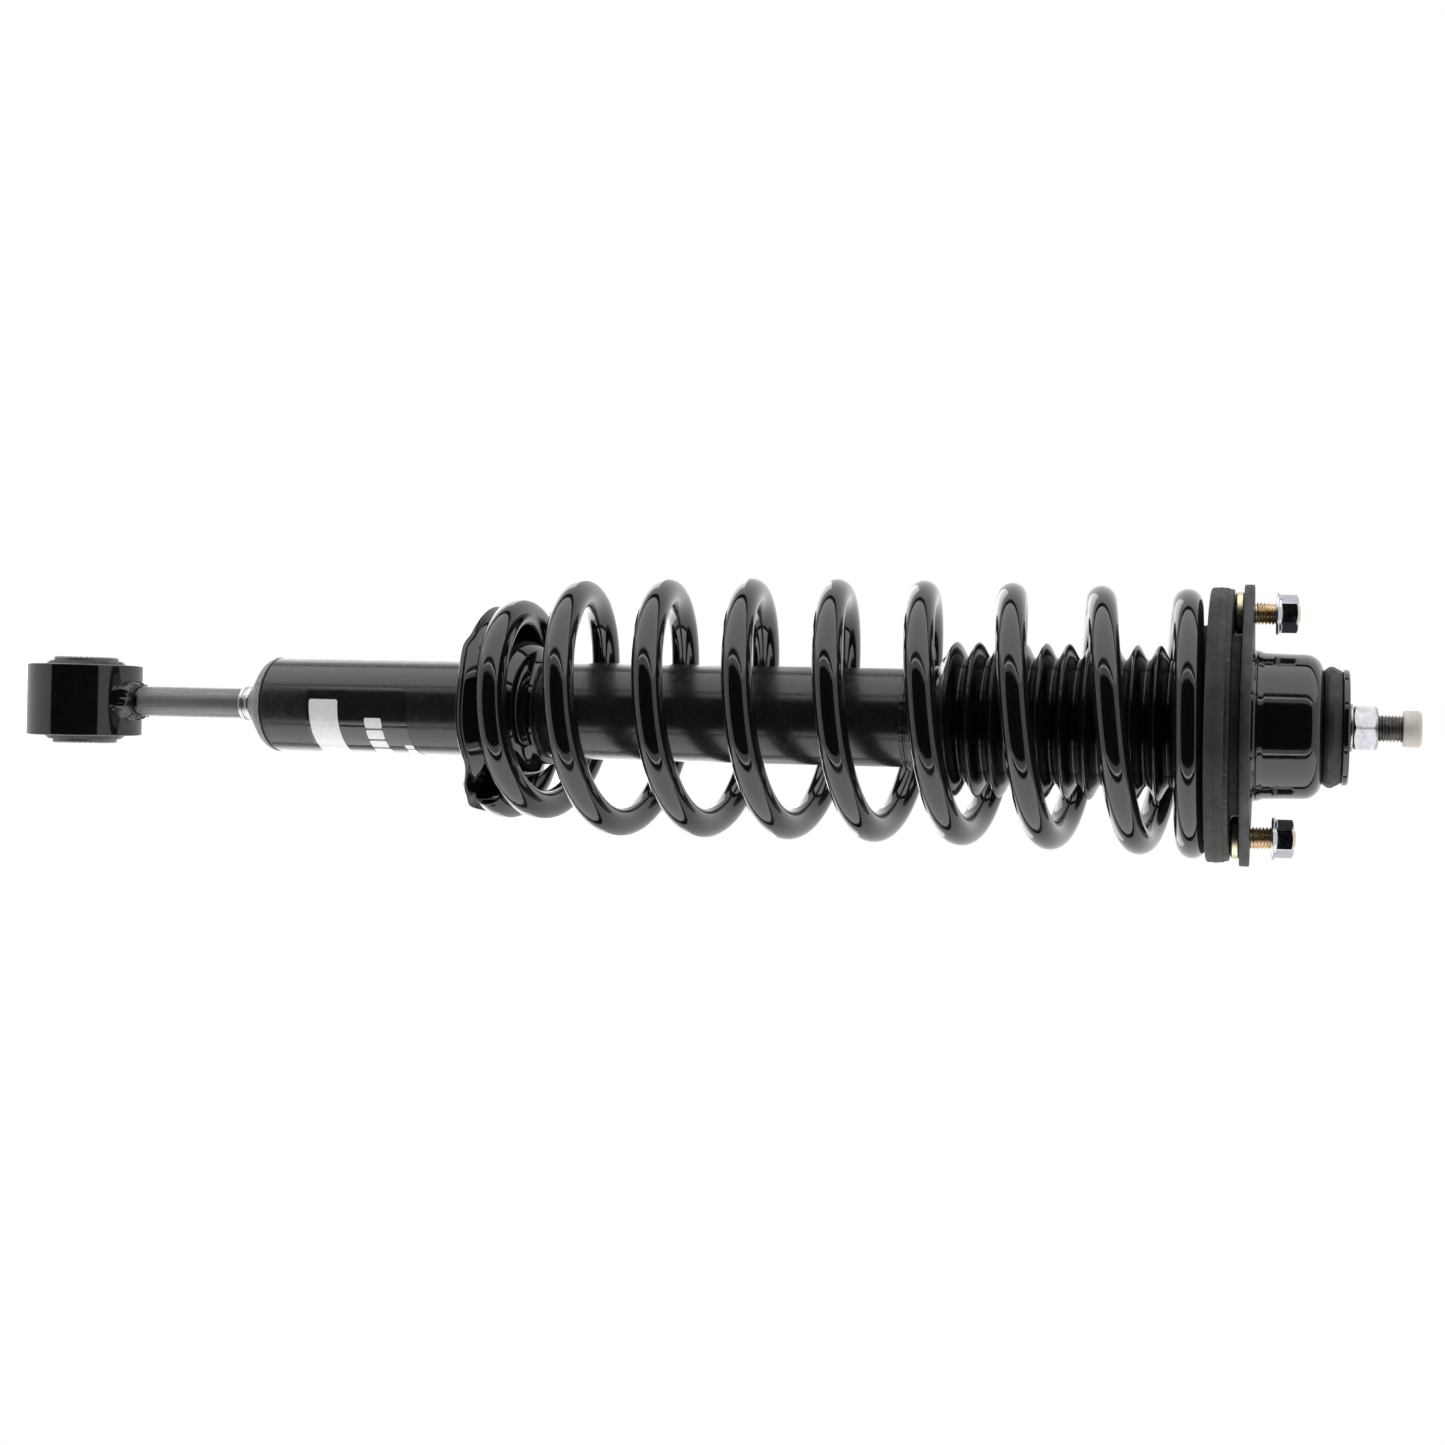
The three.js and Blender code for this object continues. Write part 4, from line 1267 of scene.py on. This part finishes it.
def build_studs(yellow, pale, zinc):
    for i in (1, 2):
        low, high = box_of(f"stud_{i}")
        centre = Matrix.Translation(((low.x + high.x) / 2, 0, 0))
        head = (high.x - low.x) / 2
        head_top = low.z + 3.8
        major = 4.95
        under = head_top + 0.25
        plate_top = box_of("mount_plate")[1].z
        outline = [
            (0, low.z), (head - 1.4, low.z, 0.8), (head, low.z + 0.9, 0.5),
            (head, head_top - 0.3, 0.3), (head - 0.4, head_top, 0.2), (major + 0.4, under),
            (major + 0.4, plate_top - 0.5), (0, plate_top - 0.5),
        ]
        turned_piece(
            f"stud_head_{i}", outline, pale, "upper_mount", [f"stud_{i}"],
            closed=False, steps=72, place=centre,
        )
        start = plate_top - 0.4
        rows = thread_rows(major, 0.8, 1.5, start + 0.5, high.z - 1.6)
        below = [(3.8, start), (4.2, start + 0.1)]
        above = [(4, high.z - 1), (3.4, high.z - 0.3), (2.6, high.z)]
        verts, faces = threaded_bar(rows, below, above)
        make_piece(f"stud_thread_{i}", moved(verts, centre), faces, yellow, "upper_mount", sharp=45)

        nut_low, nut_high = box_of(f"flange_nut_{i}")
        flange = (nut_high.y - nut_low.y) / 2
        bore = major + 0.1
        verts, faces = hex_nut(15, nut_low.z + 1.2, nut_high.z, bore, 0, 0, 1)
        name = f"flange_nut_hex_{i}"
        make_piece(name, moved(verts, centre), faces, zinc, f"nut_{i}", [f"flange_nut_{i}"], sharp=22)
        outline = [
            (bore, nut_low.z + 0.3, 0.2), (flange - 1.6, nut_low.z + 0.25, 0.3),
            (flange - 0.5, nut_low.z, 0.3), (flange, nut_low.z + 0.9, 0.45),
            (flange - 0.7, nut_low.z + 1.5, 0.4), (8.3, nut_low.z + 2.6, 1),
            (7.2, nut_low.z + 3.2, 0.4), (bore, nut_low.z + 3.2),
        ]
        turned_piece(f"flange_nut_skirt_{i}", outline, zinc, f"nut_{i}", place=centre)


# ------------------------------------------------------------------ hidden pieces

def finish_hidden(finishes):
    """The pieces inside the damper and the mount keep their CAD meshes, with real finishes."""
    for material, names in finishes:
        for name in names:
            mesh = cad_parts[name].data
            mesh.materials.clear()
            mesh.materials.append(material)


def main():
    add_camera()
    add_studio()
    gloss = gloss_black_paint()
    satin = satin_black_paint()
    rubber = black_rubber()
    seat_rubber = grey_seat_rubber()
    plate_steel = matte_grey_steel()
    stem_steel = grey_steel()
    bright = bright_steel()
    zinc = bright_zinc()
    knurled = knurled_steel()

    build_eye(gloss, rubber, stem_steel)
    build_weld_and_stem(gloss, stem_steel, bright, knurled)
    build_damper_tube(satin, knurled)
    build_striker_cap(satin)
    build_label(label_film(), label_white())
    build_spring(gloss)
    build_lower_seat(gloss)
    build_boot(boot_rubber())
    build_upper_seat(seat_rubber, rubber)
    build_plate(plate_steel)
    build_cup(gloss)
    build_cushion_stack(rubber, gloss)
    # The top nut gets a darker copy of the bright zinc, as painted shade.
    build_top_nut(shade_darkened_zinc())
    build_rod(bright, threaded_steel())
    build_rod_cap(cap_plastic())
    build_studs(yellow_zinc(), pale_zinc(), zinc)

    iron = sintered_iron()
    foam = urethane_foam()
    finish_hidden([
        (stem_steel, ["pressure_tube"]),
        (iron, ["base_valve", "piston", "rod_guide"]),
        (bright, ["base_valve_disc", "compression_shims", "rebound_shims", "lower_washer", "spacer_collar"]),
        (bearing_bronze(), ["guide_bushing"]),
        (rubber, ["rod_seal", "lower_cushion"]),
        (ptfe_band(), ["piston_ring"]),
        (zinc, ["piston_nut"]),
        (foam, ["rebound_stop", "bump_stop"]),
    ])


main()
